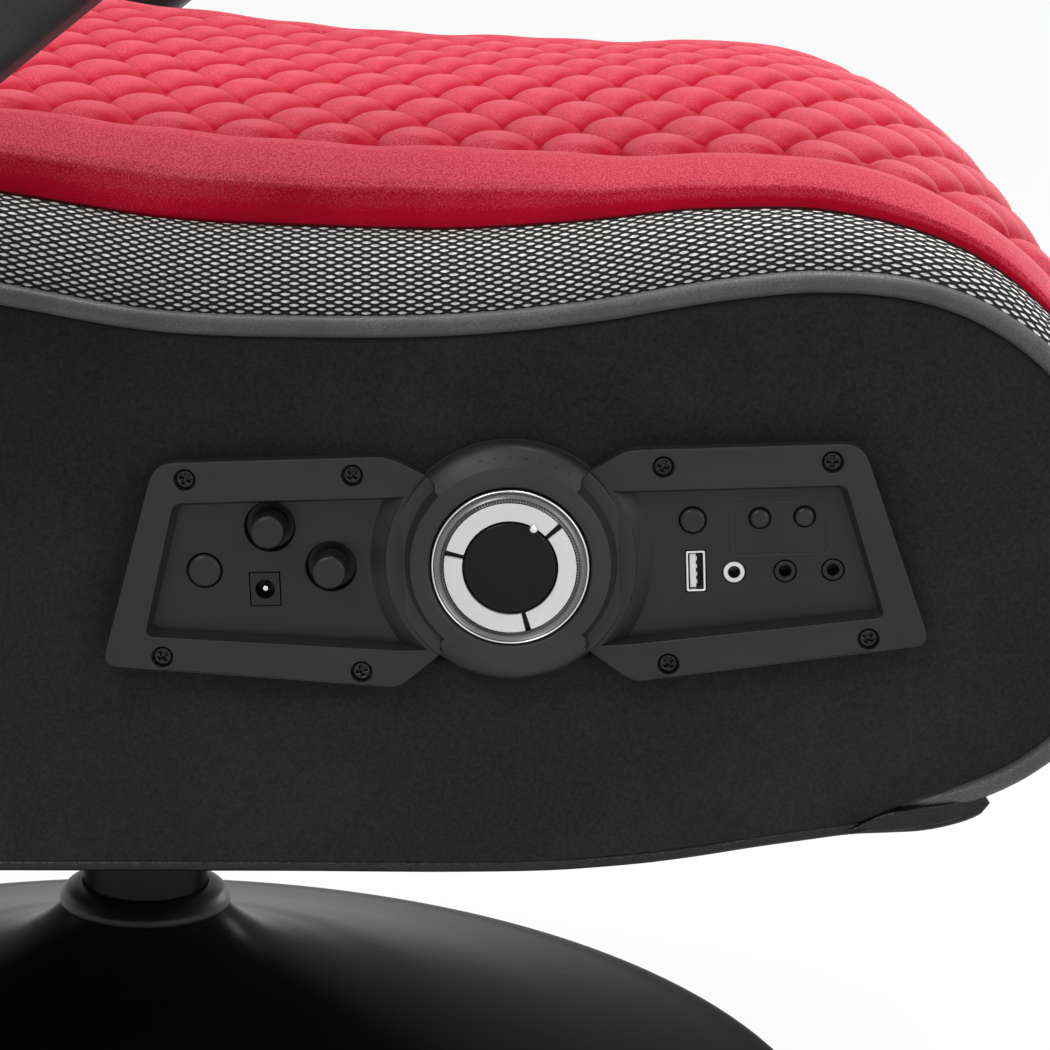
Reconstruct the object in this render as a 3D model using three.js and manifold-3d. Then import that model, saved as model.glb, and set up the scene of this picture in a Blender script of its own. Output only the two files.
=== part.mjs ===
// Gaming rocker chair on a round pedestal: a swivelling, rocking seat with a fold-forward back,
// flip-up arms and an audio control panel in the right-hand side.
// Units are millimetres, +Z is up and +X is the front of the seat. The origin lies on the floor,
// under the middle of the column.
import * as THREE from "three";
import { mergeVertices } from "three/addons/utils/BufferGeometryUtils.js";
import Module from "manifold-3d";

const wasm = await Module();
wasm.setup();

// Fits that many pieces share
const gap = 0.3; // between faces that touch on the real chair
const shaftGap = 0.3; // radial, round every pin and shaft
const overrun = 1; // how far a cutter passes the face that it cuts
const softGap = 0.6; // between padded pieces of the tapered back
const jointGap = 1.5; // between the back's round foot and the seat round it
const controlGap = 0.6; // radial, round the dial's shaft where it passes the panel

// Pedestal
const baseRadius = 289;
const baseRimHeight = 9;
const baseNeckRadius = 33;
const baseNeckHeight = 104;
const baseSheet = 2;
const plateRadius = 205;
const plateThickness = 5;
const footWidth = 15; // of the rubber ring under the rim
const footHeight = 6;
const columnRadius = 25.4;
const columnWall = 2;
const columnTop = 147;
const collarRadius = 34.8;
const collarBottom = 97;
const collarRim = 107;
const collarTop = 113;
// The trumpet's profile from its neck to its rim, as shares of its radius and of its height
const trumpetShares = [
  [0, 1], [0.035, 0.9], [0.08, 0.82], [0.18, 0.71], [0.34, 0.56],
  [0.56, 0.36], [0.78, 0.17], [0.93, 0.05], [1, 0],
];

// Swivel and rocking mechanism
const spindleRadius = 12;
const bushFlange = 3;
const bushDepth = 36;
const bracketSheet = 4;
const bracketLength = 150;
const bracketWidth = 96;
const axleX = 20;
const axleRise = 35.4; // rocking axle above the bracket's floor
const axleHeight = columnTop + bushFlange + bracketSheet + 2 * gap + axleRise;
const axleRadius = 6;
const axleHeadRadius = 10;
const axleHead = 4;
const sleeveRadius = 13;
const earRadius = 17;
const seatPlateLength = 190;
const seatPlateWidth = 140;
const restPitch = THREE.MathUtils.degToRad(3); // nose-up angle of the seat at rest

// Seat, in the seat's own level frame
const seatReach = 345; // from the column's axis to the front edge of the side panels
const seatLift = 20; // underside of the side panels above the rocking axle
const seatBase = axleHeight + seatLift;
const sideHeight = 187; // from the underside to the highest point of the side panels' top edge
const sideOuter = 252; // outer face of the side panels from the middle plane
const sideThickness = 30;
const sideRear = 215; // rear edge of the side panels behind the column's axis
const sideCorner = 26; // radius of the lower rear corner
const boardThickness = 12;
const boardRise = 3.5; // base board above the side panels' underside
const deckFoam = 31.5; // foam over the deck where the side panels' top edge is lowest
const frontRailShare = 0.748; // of the seat's reach
const frontRailX = seatReach * frontRailShare;
const coverSheet = 2.4; // dust cover
const foamInset = 4.3; // seat foam from the side panels
const seamHalf = 205; // seam between the quilted cushion and the side bolsters
const meshHalf = 236; // seam between the side bolsters and the mesh bands
const bandInset = 4.2; // mesh bands behind the side panels' outer face
const seamRise = 55; // greatest height of the cushion's seam above the side panels' top edge
const weltRadius = 3.2;
const bolsterCrown = 6;
const cushionCrown = 9;
const noseCrown = 12;
// Top edge of a side panel from the back joint round the nose to the underside: shares of
// seatReach, of sideHeight above the underside, and of seamRise for the cushion above it
const seatLineShares = [
  [-0.325, 1.1, 0.86], [-0.16, 1.035, 0.93], [-0.006, 0.984, 0.97], [0.128, 0.94, 1],
  [0.264, 0.928, 0.98], [0.4, 0.93, 0.93], [0.52, 0.95, 0.83], [0.646, 0.987, 0.7],
  [0.733, 1, 0.63], [0.823, 0.987, 0.56], [0.89, 0.941, 0.49], [0.948, 0.861, 0.4],
  [0.988, 0.722, 0.34], [1, 0.561, 0.3], [0.994, 0.401, 0.26], [0.971, 0.278, 0.22],
  [0.922, 0.193, 0.18], [0.862, 0.139, 0.14], [0.81, 0.105, 0.1],
];
const seatDipShare = 0.928; // lowest place of that top edge over the deck
// Lower edge of a side panel, from front to rear, as shares of seatReach and of sideHeight
const seatHemShares = [[0.76, 0.066], [0.68, 0.045], [0.58, 0.018], [0.48, 0]];
const bandShare = 0.6; // height of the mesh band's top as a share of the cushion's
// Outer face of the mesh band: shares of its width inwards and of its height
const bandFaceShares = [[0, 0.3], [0.25, 0.72], [1, 1]];
const bandRootShare = 0.7; // height of the band's hidden inner edge against its top
// Face of a side bolster: shares of its width inwards, of its height over the mesh, of its crown
const bolsterFaceShares = [[0.12, 0.62, 0], [0.34, 1, 0.6], [0.62, 1, 1]];
const crownRiseShare = 0.6; // of seamRise: the rise under which the bolsters' crown fades
const noseTurnShare = 0.8; // how upright the edge's normal is where the nose's crown begins
const crownEndShare = 0.15; // end of the edge over which the cushion's crown fades

// Quilting
const quiltPitch = 27.5; // along the seat
const quiltRowStep = 27; // across the seat
const quiltDome = 5.5;
const hexShare = 1 / 6; // how far a valley's corners leave its middle line, as a share of a row
const backQuiltScale = 1.6; // the back's plainer quilting against the seat's

// Back, in its own frame: x forward and z up along the back, from the fold hinge
const hingeX = -170;
const hingeLift = 76.3; // fold hinge above the rear end of the side panels' top edge
const hingeHeight = seatBase + seatLineShares[0][1] * sideHeight + hingeLift;
const backAngle = THREE.MathUtils.degToRad(14);
const jointRadius = 85; // round lower end of the back
const backLength = 665;
const backDepth = 85; // rear face of the back behind the hinge line
const backSideInner = 223.6;
const backSideOuter = 252;
const backTaperShare = 0.15; // how much narrower the back is at its top
const backRise = 44;
// Front edge of a back side panel from top to bottom: shares of backDepth in front of the hinge
// line, of backLength, and of backRise for the cushion in front of it
const backLineShares = [
  [-0.62, 1, 0.3], [-0.36, 0.985, 0.5], [-0.22, 0.94, 0.75], [-0.2, 0.85, 0.95], [-0.22, 0.72, 1],
  [-0.16, 0.56, 1], [-0.08, 0.4, 1], [-0.05, 0.25, 1], [-0.06, 0.12, 1], [-0.09, 0, 1],
  [-0.12, -0.09, 0.95],
];
// Rear edge of a back side panel from bottom to top, as shares of backDepth and backLength
const backRearShares = [
  [-1, 0], [-1.03, 0.2], [-0.96, 0.42], [-0.86, 0.64], [-0.76, 0.83], [-0.7, 0.94], [-0.665, 0.99],
];
const backBoard = 14;
const backBoardFront = 22; // front face of the back board behind the hinge line
const backCoverThickness = 18;
const headrestLength = 140; // from the top of the back to the headrest's lower edge
const speakerRadius = 34;
const speakerDrop = 69; // from the top of the back to the speakers' middle
const speakerOffset = 122;
const speakerDepth = 16;
const speakerBody = 35; // depth of a speaker behind its face
// A speaker's front from its edge to its middle: shares of its radius and of speakerDepth
const speakerShares = [[1, 1], [0.9, 0.8], [0.5, 0.55], [0, 0.5]];
const wooferHeightShare = 0.436; // its height up the back
const wooferHole = 52;
// The woofer from its magnet to its cone: shares of its radius and of its depth
const wooferShares = [
  [0, 0], [0.52, 0], [0.57, 0.29], [1, 0.46], [1, 1], [0.88, 1], [0.4, 0.71], [0, 0.77],
];
const backBoardShare = 0.93; // top end of the back board up the back
const boardFootShare = 0.7; // its lower end, as a share of the round foot's radius
const footShare = 0.15; // front end of the round foot behind the hinge line, of backDepth
const footTrimShare = 0.6; // of jointRadius: where the front edge gives way to the round foot
// Front of a back bolster: shares of its width inwards, of the cushion's rise, of its crown
const backBolsterShares = [[0, 0.2, 0], [0.1, 0.5, 0], [0.3, 0.66, 0], [0.42, 0.95, 0], [0.7, 1, 1]];
const headCrown = 12; // of the headrest, over the back's cushion

// Fold hinge plates
const hingePlate = 4;
const hingePinRadius = 6;
const hingePinLength = 17;
const hingeEyeRadius = 20;
const hingeFoot = 60;

// Arms
const armInner = 262; // inner face from the middle plane
const armWidth = 66;
const armPivotX = -150;
const armPivotDrop = 104; // below the fold hinge
const armPivotHeight = hingeHeight - armPivotDrop;
const armHalf = 37; // half the depth of the rising stretch
const armSlope = THREE.MathUtils.degToRad(37.6);
const armRun = 270; // length of the rising stretch's lower edge
const armPadRise = 238; // top of the pad above the pivot
const armPadTop = armPivotHeight + armPadRise;
const armPadDepth = 66;
const armPadFront = 205;
const armBendShare = 0.42; // where the upper edge leaves the rising stretch, of armRun
const armPadRear = -62;
const armRound = 12;
const armPinRadius = 8;
const armPinLength = 30;
const armFlangeRadius = 24;
const armFlange = 5;

// Control panel, in its own frame: x towards the front, y up and z out of the side panel
const panelX = 156;
const panelLift = 102.4; // middle of the dial above the side panels' underside
const panelHeight = seatBase + panelLift;
const panelTilt = THREE.MathUtils.degToRad(1.5);
const panelRise = 7;
const panelTopHalf = 110.5;
const panelBottomHalf = 131;
const panelTopEdge = 35.1;
const panelOuterFoot = 30.2;
const panelInnerFoot = 39.8;
const panelRoot = 37; // where the chamfers towards the dial begin
const panelChamferIn = 14;
const panelChamferTop = 8.5;
const panelChamferFoot = 10;
const panelCorner = 5;
const panelBevel = 1.6;
const recessTopHalf = 103.5;
const recessBottomHalf = 115;
const recessTop = 20.4;
const recessOuterFoot = 19.2;
const recessInnerFoot = 26.6;
const recessArc = 44.5; // radius of the recess's inner wall round the dial
const recessFlare = 3; // how much wider the recess is at its mouth
const insertRise = 2; // floor of the recess above the side panel's face
const insertFlange = 2;
const insertLip = 3; // how far the insert's flange reaches past the recess
const windowLip = 5; // and the window in the side panel
const screwHoleRadius = 1.6;
const counterboreRadius = 3.7;
const counterboreDepth = 3.4;
const boardOffset = 13; // circuit board's front face behind the side panel's face
const circuitSheet = 1.6;
const circuitHalf = 106;
const circuitHeight = 40;
const postRadius = 3;
const postInset = 4.5; // middle of a post from the board's long edge
const screwPlaces = [
  [101, 29.5], [48.5, 29.4], [111.5, -27.7], [48.5, -34.2],
];

// Volume dial
const dialHousingRadius = 38.2;
const dialPlate = 1.7;
const dialSkirt = 6.6;
const dialShoulder = 31;
const dialWall = 31.4; // radius of the cup's upright wall where the panel's wings reach it
const dialHousingRise = 12.4;
const dialBore = 25;
const dialFloor = 2.4;
const dialRadius = 24.3;
const dialRimRise = 12.8;
const dialRingRadius = 20.9;
const dialRingRise = 13.6;
const dialCapRadius = 14.8;
const dialCapRise = 14;
const shaftRadius = 3;

// Knobs, buttons and sockets: places on the panel and sizes
const knobRadius = 5.7;
const knobHoleRadius = 8;
const knobRise = 10.6;
const knobEdge = 1;
const buttonStem = 2;
const buttonTravel = 1;
const buttonRise = 3.4;
const buttonHoleGap = 0.35;
const vibrationKnobAt = [-75.7, 12.6];
const bassKnobAt = [-57, -0.8];
const powerButton = { at: [-97.1, -1], radius: 5.3 };
const modeButton = { at: [57.3, 11.1], radius: 4 };
const lightUpButton = { at: [78.3, 11.2], radius: 3.1 };
const lightDownButton = { at: [92.3, 11.3], radius: 3.1 };
const powerJack = { at: [-78.2, -7.6], width: 9.3, height: 10.6, hole: 3.1, pin: 1 };
const usbSocket = { at: [57.9, -5.4], width: 6, height: 13.1, wall: 0.8, tongue: 2 };
const audioJackRadius = 3.4;
const audioJackHole = 1.75;
const audioJackDepth = 9;
const inputJackAt = [69.9, -6.1];
const frontOutputJackAt = [100.9, -6.2];
const rearOutputJackAt = [85.9, -6.2];

// Vibration motor under the deck
const motorRadius = 19;
const motorHeight = 24;
const motorX = 90;

// Geometry helpers
// Facets round turned pieces, from the pedestal down to screw holes
const broad = 40;
const round = 24;
const fine = 14;
const tiny = 8;

function solidOf(geometry) {
  const bare = geometry.index ? geometry.toNonIndexed() : geometry.clone();
  const points = new THREE.BufferGeometry();
  points.setAttribute("position", bare.getAttribute("position"));
  const merged = mergeVertices(points, 1e-4);
  const triVerts = new Uint32Array(merged.index.array);
  const vertProperties = merged.attributes.position.array;
  const made = new wasm.Manifold(new wasm.Mesh({ numProp: 3, vertProperties, triVerts }));
  if (made.volume() >= 0) return made;
  for (let i = 0; i < triVerts.length; i += 3) {
    [triVerts[i + 1], triVerts[i + 2]] = [triVerts[i + 2], triVerts[i + 1]];
  }
  return new wasm.Manifold(new wasm.Mesh({ numProp: 3, vertProperties, triVerts }));
}

function geometryOf(solid) {
  const mesh = solid.getMesh();
  const positions = new Float32Array(mesh.numVert * 3);
  for (let i = 0; i < mesh.numVert; i += 1) {
    positions.set(mesh.vertProperties.subarray(i * mesh.numProp, i * mesh.numProp + 3), i * 3);
  }
  const geometry = new THREE.BufferGeometry();
  geometry.setAttribute("position", new THREE.BufferAttribute(positions, 3));
  geometry.setIndex(new THREE.BufferAttribute(new Uint32Array(mesh.triVerts), 1));
  return geometry;
}

function cut(geometry, ...tools) {
  return geometryOf(tools.reduce((body, tool) => body.subtract(solidOf(tool)), solidOf(geometry)));
}

function join(geometry, ...others) {
  return geometryOf(others.reduce((body, other) => body.add(solidOf(other)), solidOf(geometry)));
}

function clip(geometry, tool) {
  return geometryOf(solidOf(geometry).intersect(solidOf(tool)));
}

function box(x0, x1, y0, y1, z0, z1) {
  const made = new THREE.BoxGeometry(x1 - x0, y1 - y0, z1 - z0);
  return made.translate((x0 + x1) / 2, (y0 + y1) / 2, (z0 + z1) / 2);
}

// A turned piece about Z from a closed profile of [radius, height] points
function turned(profile, facets = round) {
  const points = profile.map(([r, z]) => new THREE.Vector2(r, z));
  if (THREE.ShapeUtils.area(points) < 0) points.reverse();
  if (Math.max(points[0].x, points.at(-1).x) > 0) points.push(points[0]);
  return new THREE.LatheGeometry(points, facets).rotateX(Math.PI / 2);
}

function rod(radius, z0, z1, facets = fine) {
  return turned([[0, z0], [radius, z0], [radius, z1], [0, z1]], facets);
}

// A rod along Y at a place in the XZ plane
function crossRod(radius, y0, y1, x, z, facets = fine) {
  return rod(radius, y0, y1, facets).rotateX(-Math.PI / 2).translate(x, 0, z);
}

// An outline of [x, z] points or a Shape, extruded along Y
function sidePlate(outline, y0, y1) {
  const points = outline instanceof THREE.Shape ? null : outline.map(([x, z]) => new THREE.Vector2(x, z));
  const shape = points ? new THREE.Shape(points) : outline;
  const made = new THREE.ExtrudeGeometry(shape, { depth: y1 - y0, bevelEnabled: false, curveSegments: 8 });
  return made.rotateX(Math.PI / 2).translate(0, y1, 0);
}

// A closed body through rings of equal count; the section tells how its ends are capped
function loft(rings, section) {
  const count = section.length;
  const positions = rings.flat().flatMap((p) => [p.x, p.y, p.z]);
  const faces = [];
  for (let i = 0; i + 1 < rings.length; i += 1) {
    for (let j = 0; j < count; j += 1) {
      const a = i * count + j;
      const b = i * count + ((j + 1) % count);
      faces.push(a, b, b + count, a, b + count, a + count);
    }
  }
  const last = (rings.length - 1) * count;
  for (const [a, b, c] of THREE.ShapeUtils.triangulateShape(section, [])) {
    faces.push(c, b, a, last + a, last + b, last + c);
  }
  const made = new THREE.BufferGeometry();
  made.setAttribute("position", new THREE.Float32BufferAttribute(positions, 3));
  made.setIndex(faces);
  return geometryOf(solidOf(made));
}

// Stations along a padded edge: the place, the outward normal and the cushion's rise there
function stationsOf(line, first, last, steps) {
  return Array.from({ length: steps + 1 }, (_, i) => {
    const t = first + ((last - first) * i) / steps;
    const p = line.getPointAt(t);
    const along = line.getTangentAt(t).setZ(0).normalize();
    return { x: p.x, z: p.y, nx: -along.y, nz: along.x, rise: p.z, t };
  });
}

// How far along a falling line it passes a height, as a share of its length
function findShare(line, height) {
  let [above, below] = [0, 1];
  while (below - above > 1e-4) {
    const middle = (above + below) / 2;
    if (line.getPointAt(middle).y > height) above = middle;
    else below = middle;
  }
  return above;
}

function atStation(s, y, out) {
  return new THREE.Vector3(s.x + s.nx * out, y, s.z + s.nz * out);
}

// A strip of padding along a line: sectionAt gives [y, out] corners for a rise
function strip(stations, sectionAt, side) {
  const section = sectionAt(stations[0].rise).map(([y, out]) => new THREE.Vector2(y, out));
  const rings = stations.map((s) => sectionAt(s.rise).map(([y, out]) => atStation(s, side * y, out)));
  return loft(rings, section);
}

// A quilted cushion: staggered rows of six-sided domes between straight side seams. The padded
// face is crowned from side to side, and its flat back lies on whatever carries it.
function quiltedPad(stations, half, rows, crownAt) {
  const positions = [];
  const put = (station, y, lift) => {
    const crown = crownAt(station) * (1 - (y / half) ** 2);
    const p = atStation(station, y, lift < 0 ? gap : station.rise + crown + lift);
    positions.push(p.x, p.y, p.z);
    return positions.length / 3 - 1;
  };
  const end = stations.length - 1;
  const rowStep = (2 * half) / rows;
  const valleys = Array.from({ length: rows + 1 }, (_, row) => stations.map((station, i) => {
    const inner = row > 0 && row < rows && i > 0 && i < end;
    const zigzag = inner ? ((i + row) % 2 ? rowStep : -rowStep) * hexShare : 0;
    return put(station, -half + row * rowStep + zigzag, 0);
  }));
  const faces = [];
  for (let row = 0; row < rows; row += 1) {
    const [near, far] = [valleys[row], valleys[row + 1]];
    for (let i = row % 2 ? -1 : 0; i < end; i += 2) {
      if (i < 0 || i + 2 > end) {
        const [a, b] = i < 0 ? [0, 1] : [i, i + 1];
        faces.push(near[a], near[b], far[b], near[a], far[b], far[a]);
        continue;
      }
      const top = put(stations[i + 1], -half + (row + 0.5) * rowStep, quiltDome);
      const ring = [near[i], near[i + 1], near[i + 2], far[i + 2], far[i + 1], far[i]];
      ring.forEach((corner, k) => faces.push(corner, ring[(k + 1) % ring.length], top));
    }
  }
  const floor = [-half, half].map((y) => stations.map((station) => put(station, y, -1)));
  const [nearSeam, farSeam] = [valleys[0], valleys[rows]];
  for (let i = 0; i < end; i += 1) {
    faces.push(floor[0][i], floor[1][i], floor[1][i + 1], floor[0][i], floor[1][i + 1], floor[0][i + 1]);
    faces.push(nearSeam[i], floor[0][i], floor[0][i + 1], nearSeam[i], floor[0][i + 1], nearSeam[i + 1]);
    faces.push(farSeam[i], floor[1][i + 1], floor[1][i], farSeam[i], farSeam[i + 1], floor[1][i + 1]);
  }
  for (const i of [0, end]) {
    const fan = [floor[0][i], ...valleys.map((row) => row[i]), floor[1][i]];
    for (let j = 1; j + 1 < fan.length; j += 1) {
      if (i) faces.push(fan[0], fan[j + 1], fan[j]);
      else faces.push(fan[0], fan[j], fan[j + 1]);
    }
  }
  const made = new THREE.BufferGeometry();
  made.setAttribute("position", new THREE.Float32BufferAttribute(positions, 3));
  made.setIndex(faces);
  return geometryOf(solidOf(made));
}

function finish(color, roughness, metalness = 0) {
  return new THREE.MeshStandardMaterial({ color, roughness, metalness, flatShading: true });
}

const velvet = finish(0xc4102f, 0.85);
const suede = finish(0x232324, 0.95);
const net = finish(0x55565a, 0.6);
const vinyl = finish(0x2c2c2e, 0.55);
const greyVinyl = finish(0x555556, 0.5);
const mouldedPlastic = finish(0x303133, 0.5);
const darkPlastic = finish(0x1b1b1d, 0.45);
const silver = finish(0xc9cbcc, 0.3, 0.9);
const whitePlastic = finish(0xe6e6e4, 0.4);
const satinBlack = finish(0x101011, 0.35, 0.4);
const blackPlastic = finish(0x141415, 0.5);
const rubber = finish(0x18181a, 0.9);
const steel = finish(0x8d9093, 0.4, 0.9);
const plywood = finish(0xb08a5a, 0.8);
const foam = finish(0xd9cfae, 0.95);
const circuitGreen = finish(0x1f5a34, 0.6);

const chair = new THREE.Group();

function add(group, name, geometry, material) {
  const mesh = new THREE.Mesh(geometry, material);
  mesh.name = name;
  group.add(mesh);
  return mesh;
}

function bothSides(group, name, make, material) {
  add(group, `${name}_right`, make(-1), material);
  add(group, `${name}_left`, make(1), material);
}

// Pedestal: a spun trumpet over a ballast plate, a rubber foot ring, and the column with its collar
const trumpet = new THREE.SplineCurve(
  trumpetShares.map(([out, up]) => new THREE.Vector2(
    baseNeckRadius + out * (baseRadius - baseNeckRadius),
    baseRimHeight + up * (baseNeckHeight - baseRimHeight),
  )),
);
const trumpetSteps = 10;
const trumpetOuter = trumpet.getPoints(trumpetSteps);
const trumpetInner = trumpetOuter.map((p, i) => {
  const along = trumpet.getTangent(i / trumpetSteps);
  return [p.x + along.y * baseSheet, p.y - along.x * baseSheet];
});
const rimFoot = footHeight + gap;
const baseProfile = [
  ...trumpetOuter.map((p) => [p.x, p.y]),
  [baseRadius, rimFoot],
  [baseRadius - baseSheet, rimFoot],
  ...trumpetInner.slice(1, -1).reverse(),
  [baseNeckRadius, baseNeckHeight - baseSheet],
];
add(chair, "base_shell", turned(baseProfile, broad), satinBlack);
add(chair, "base_plate", rod(plateRadius, 0, plateThickness, broad), steel);
const footOuter = baseRadius - baseSheet;
const footInner = footOuter - footWidth;
add(chair, "foot_ring", turned([
  [footInner, 0], [footOuter, 0], [footOuter, footHeight], [footInner, footHeight],
], broad), rubber);
add(chair, "column_tube", turned([
  [columnRadius - columnWall, plateThickness + gap], [columnRadius, plateThickness + gap],
  [columnRadius, columnTop], [columnRadius - columnWall, columnTop],
], round), satinBlack);
const neckStep = baseNeckHeight + gap;
const collarInner = columnRadius + gap;
add(chair, "column_collar", turned([
  [collarInner, collarBottom], [baseNeckRadius - gap, collarBottom], [baseNeckRadius - gap, neckStep],
  [collarRadius, neckStep], [collarRadius, collarRim],
  [collarRadius - baseSheet, (collarRim + collarTop) / 2 - gap], [collarInner + baseSheet, collarTop],
  [collarInner, collarTop],
]), blackPlastic);
const bushTop = columnTop + gap + bushFlange;
add(chair, "column_bush", turned([
  [spindleRadius + shaftGap, columnTop - bushDepth],
  [columnRadius - columnWall - gap, columnTop - bushDepth],
  [columnRadius - columnWall - gap, columnTop + gap], [columnRadius, columnTop + gap],
  [columnRadius, bushTop], [spindleRadius + shaftGap, bushTop],
], round), blackPlastic);

// Swivel head: spindle, channel bracket with two ears, and the rocking axle
const swivel = new THREE.Group();
chair.add(swivel);
const bracketFloor = bushTop + gap;
const bracketTop = bracketFloor + bracketSheet;
add(swivel, "swivel_spindle", rod(spindleRadius, columnTop - bushDepth, bracketTop), steel);
const earOuter = bracketWidth / 2;
const bracketEar = (side) => {
  const near = side > 0 ? earOuter - bracketSheet : -earOuter;
  const outline = new THREE.Shape();
  outline.moveTo(axleX - bracketLength / 3, bracketFloor);
  outline.lineTo(axleX + bracketLength / 3, bracketFloor);
  outline.lineTo(axleX + earRadius, axleHeight);
  outline.absarc(axleX, axleHeight, earRadius, 0, Math.PI, false);
  outline.closePath();
  return sidePlate(outline, near, near + bracketSheet);
};
const channel = join(
  box(axleX - bracketLength / 2, axleX + bracketLength / 2, -earOuter, earOuter, bracketFloor, bracketTop),
  bracketEar(1), bracketEar(-1),
);
add(swivel, "tilt_bracket", cut(
  channel,
  crossRod(axleRadius + shaftGap, -earOuter - overrun, earOuter + overrun, axleX, axleHeight),
  rod(spindleRadius + gap, bracketFloor - overrun, bracketTop + overrun),
), steel);
const axleEnd = earOuter + gap;
add(swivel, "tilt_axle", join(
  crossRod(axleRadius, -axleEnd - axleHead, axleEnd + axleHead, axleX, axleHeight),
  crossRod(axleHeadRadius, axleEnd, axleEnd + axleHead, axleX, axleHeight),
  crossRod(axleHeadRadius, -axleEnd - axleHead, -axleEnd, axleX, axleHeight),
), steel);

// The seat's level frame hangs on the rocking axle, pitched nose-up
const rocker = new THREE.Group();
rocker.position.set(axleX, 0, axleHeight);
rocker.rotation.y = -restPitch;
swivel.add(rocker);
const seat = new THREE.Group();
seat.position.set(-axleX, 0, -axleHeight);
rocker.add(seat);

const boardBottom = seatBase + boardRise;
const boardTop = boardBottom + boardThickness;
const deckHeight = seatBase + seatDipShare * sideHeight - deckFoam - boardThickness;
const seatPlateTop = boardBottom - gap;
const innerEar = earOuter - bracketSheet - gap;
const seatEar = (side) => {
  const near = side > 0 ? innerEar - bracketSheet : -innerEar;
  const outline = new THREE.Shape();
  outline.moveTo(axleX - earRadius, seatPlateTop - bracketSheet / 2);
  outline.lineTo(axleX - earRadius, axleHeight);
  outline.absarc(axleX, axleHeight, earRadius, Math.PI, 2 * Math.PI, false);
  outline.lineTo(axleX + earRadius, seatPlateTop - bracketSheet / 2);
  outline.closePath();
  return sidePlate(outline, near, near + bracketSheet);
};
add(seat, "seat_bracket", cut(
  join(
    box(
      axleX - seatPlateLength / 2, axleX + seatPlateLength / 2, -seatPlateWidth / 2, seatPlateWidth / 2,
      seatPlateTop - bracketSheet, seatPlateTop,
    ),
    seatEar(1), seatEar(-1),
  ),
  crossRod(sleeveRadius + gap, -innerEar - overrun, innerEar + overrun, axleX, axleHeight),
), steel);
add(seat, "torsion_sleeve", cut(
  crossRod(sleeveRadius, -innerEar, innerEar, axleX, axleHeight),
  crossRod(axleRadius + shaftGap, -innerEar - overrun, innerEar + overrun, axleX, axleHeight),
), rubber);

// Seat box: boards between the padded side panels
const sideInner = sideOuter - sideThickness;
const boardHalf = sideInner - gap;
const rearBoardX = -sideRear + gap;
const boardRear = rearBoardX + boardThickness + gap;
const boardFront = frontRailX + boardThickness;
const board = (x0, x1, z0, z1) => box(x0, x1, -boardHalf, boardHalf, z0, z1);
add(seat, "seat_base_board", board(boardRear, boardFront, boardBottom, boardTop), plywood);
const hingeSweep = (radius, half) => crossRod(radius, -half, half, hingeX, hingeHeight, broad);
const sweepHalf = sideOuter + weltRadius + overrun;
const seatJoint = jointRadius + jointGap;
add(seat, "seat_rear_panel", cut(
  board(rearBoardX, rearBoardX + boardThickness, boardBottom, hingeHeight - jointRadius / 2),
  hingeSweep(seatJoint, sweepHalf),
), suede);
add(seat, "front_rail", board(frontRailX, boardFront, boardTop + gap, deckHeight - gap), plywood);
add(seat, "seat_deck", board(boardRear, boardFront, deckHeight, deckHeight + boardThickness), plywood);
const motorTop = deckHeight - gap;
const motor = rod(motorRadius, motorTop - motorHeight, motorTop).translate(motorX, 0, 0);
add(seat, "vibration_motor", motor, darkPlastic);

const seatLine = new THREE.CatmullRomCurve3(seatLineShares.map(([x, z, rise]) => new THREE.Vector3(
  x * seatReach, seatBase + z * sideHeight, rise * seamRise,
)), false, "centripetal");
const seatSteps = 26;
const seatStations = stationsOf(seatLine, 0, 1, seatSteps);
const seatLinePoints = seatStations.map((s) => [s.x, s.z]);
const hemPoints = seatHemShares.map(([x, z]) => [x * seatReach, seatBase + z * sideHeight]);

// Foam block under the cushion, thick over the deck and wrapped down in front of the rail
const deckTop = deckHeight + boardThickness + gap;
const noseBack = boardFront + gap;
const foamTop = seatStations.map((s) => [s.x - s.nx * gap, s.z - s.nz * gap]);
add(seat, "seat_foam", cut(
  sidePlate([
    [boardRear, deckTop],
    [boardRear, hingeHeight - jointRadius],
    ...foamTop,
    [noseBack, boardTop + gap],
    [noseBack, deckTop],
  ], -sideInner + foamInset + gap, sideInner - foamInset - gap),
  hingeSweep(seatJoint, sweepHalf),
), foam);

// Padded side panels with a window behind the control panel
const rearTop = hingeHeight;
const sideOutline = new THREE.Shape();
sideOutline.moveTo(-sideRear, rearTop);
seatLinePoints.forEach(([x, z]) => sideOutline.lineTo(x, z));
hemPoints.forEach(([x, z]) => sideOutline.lineTo(x, z));
sideOutline.lineTo(-sideRear + sideCorner, seatBase);
sideOutline.absarc(-sideRear + sideCorner, seatBase + sideCorner, sideCorner, -Math.PI / 2, -Math.PI, true);
sideOutline.closePath();

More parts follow.
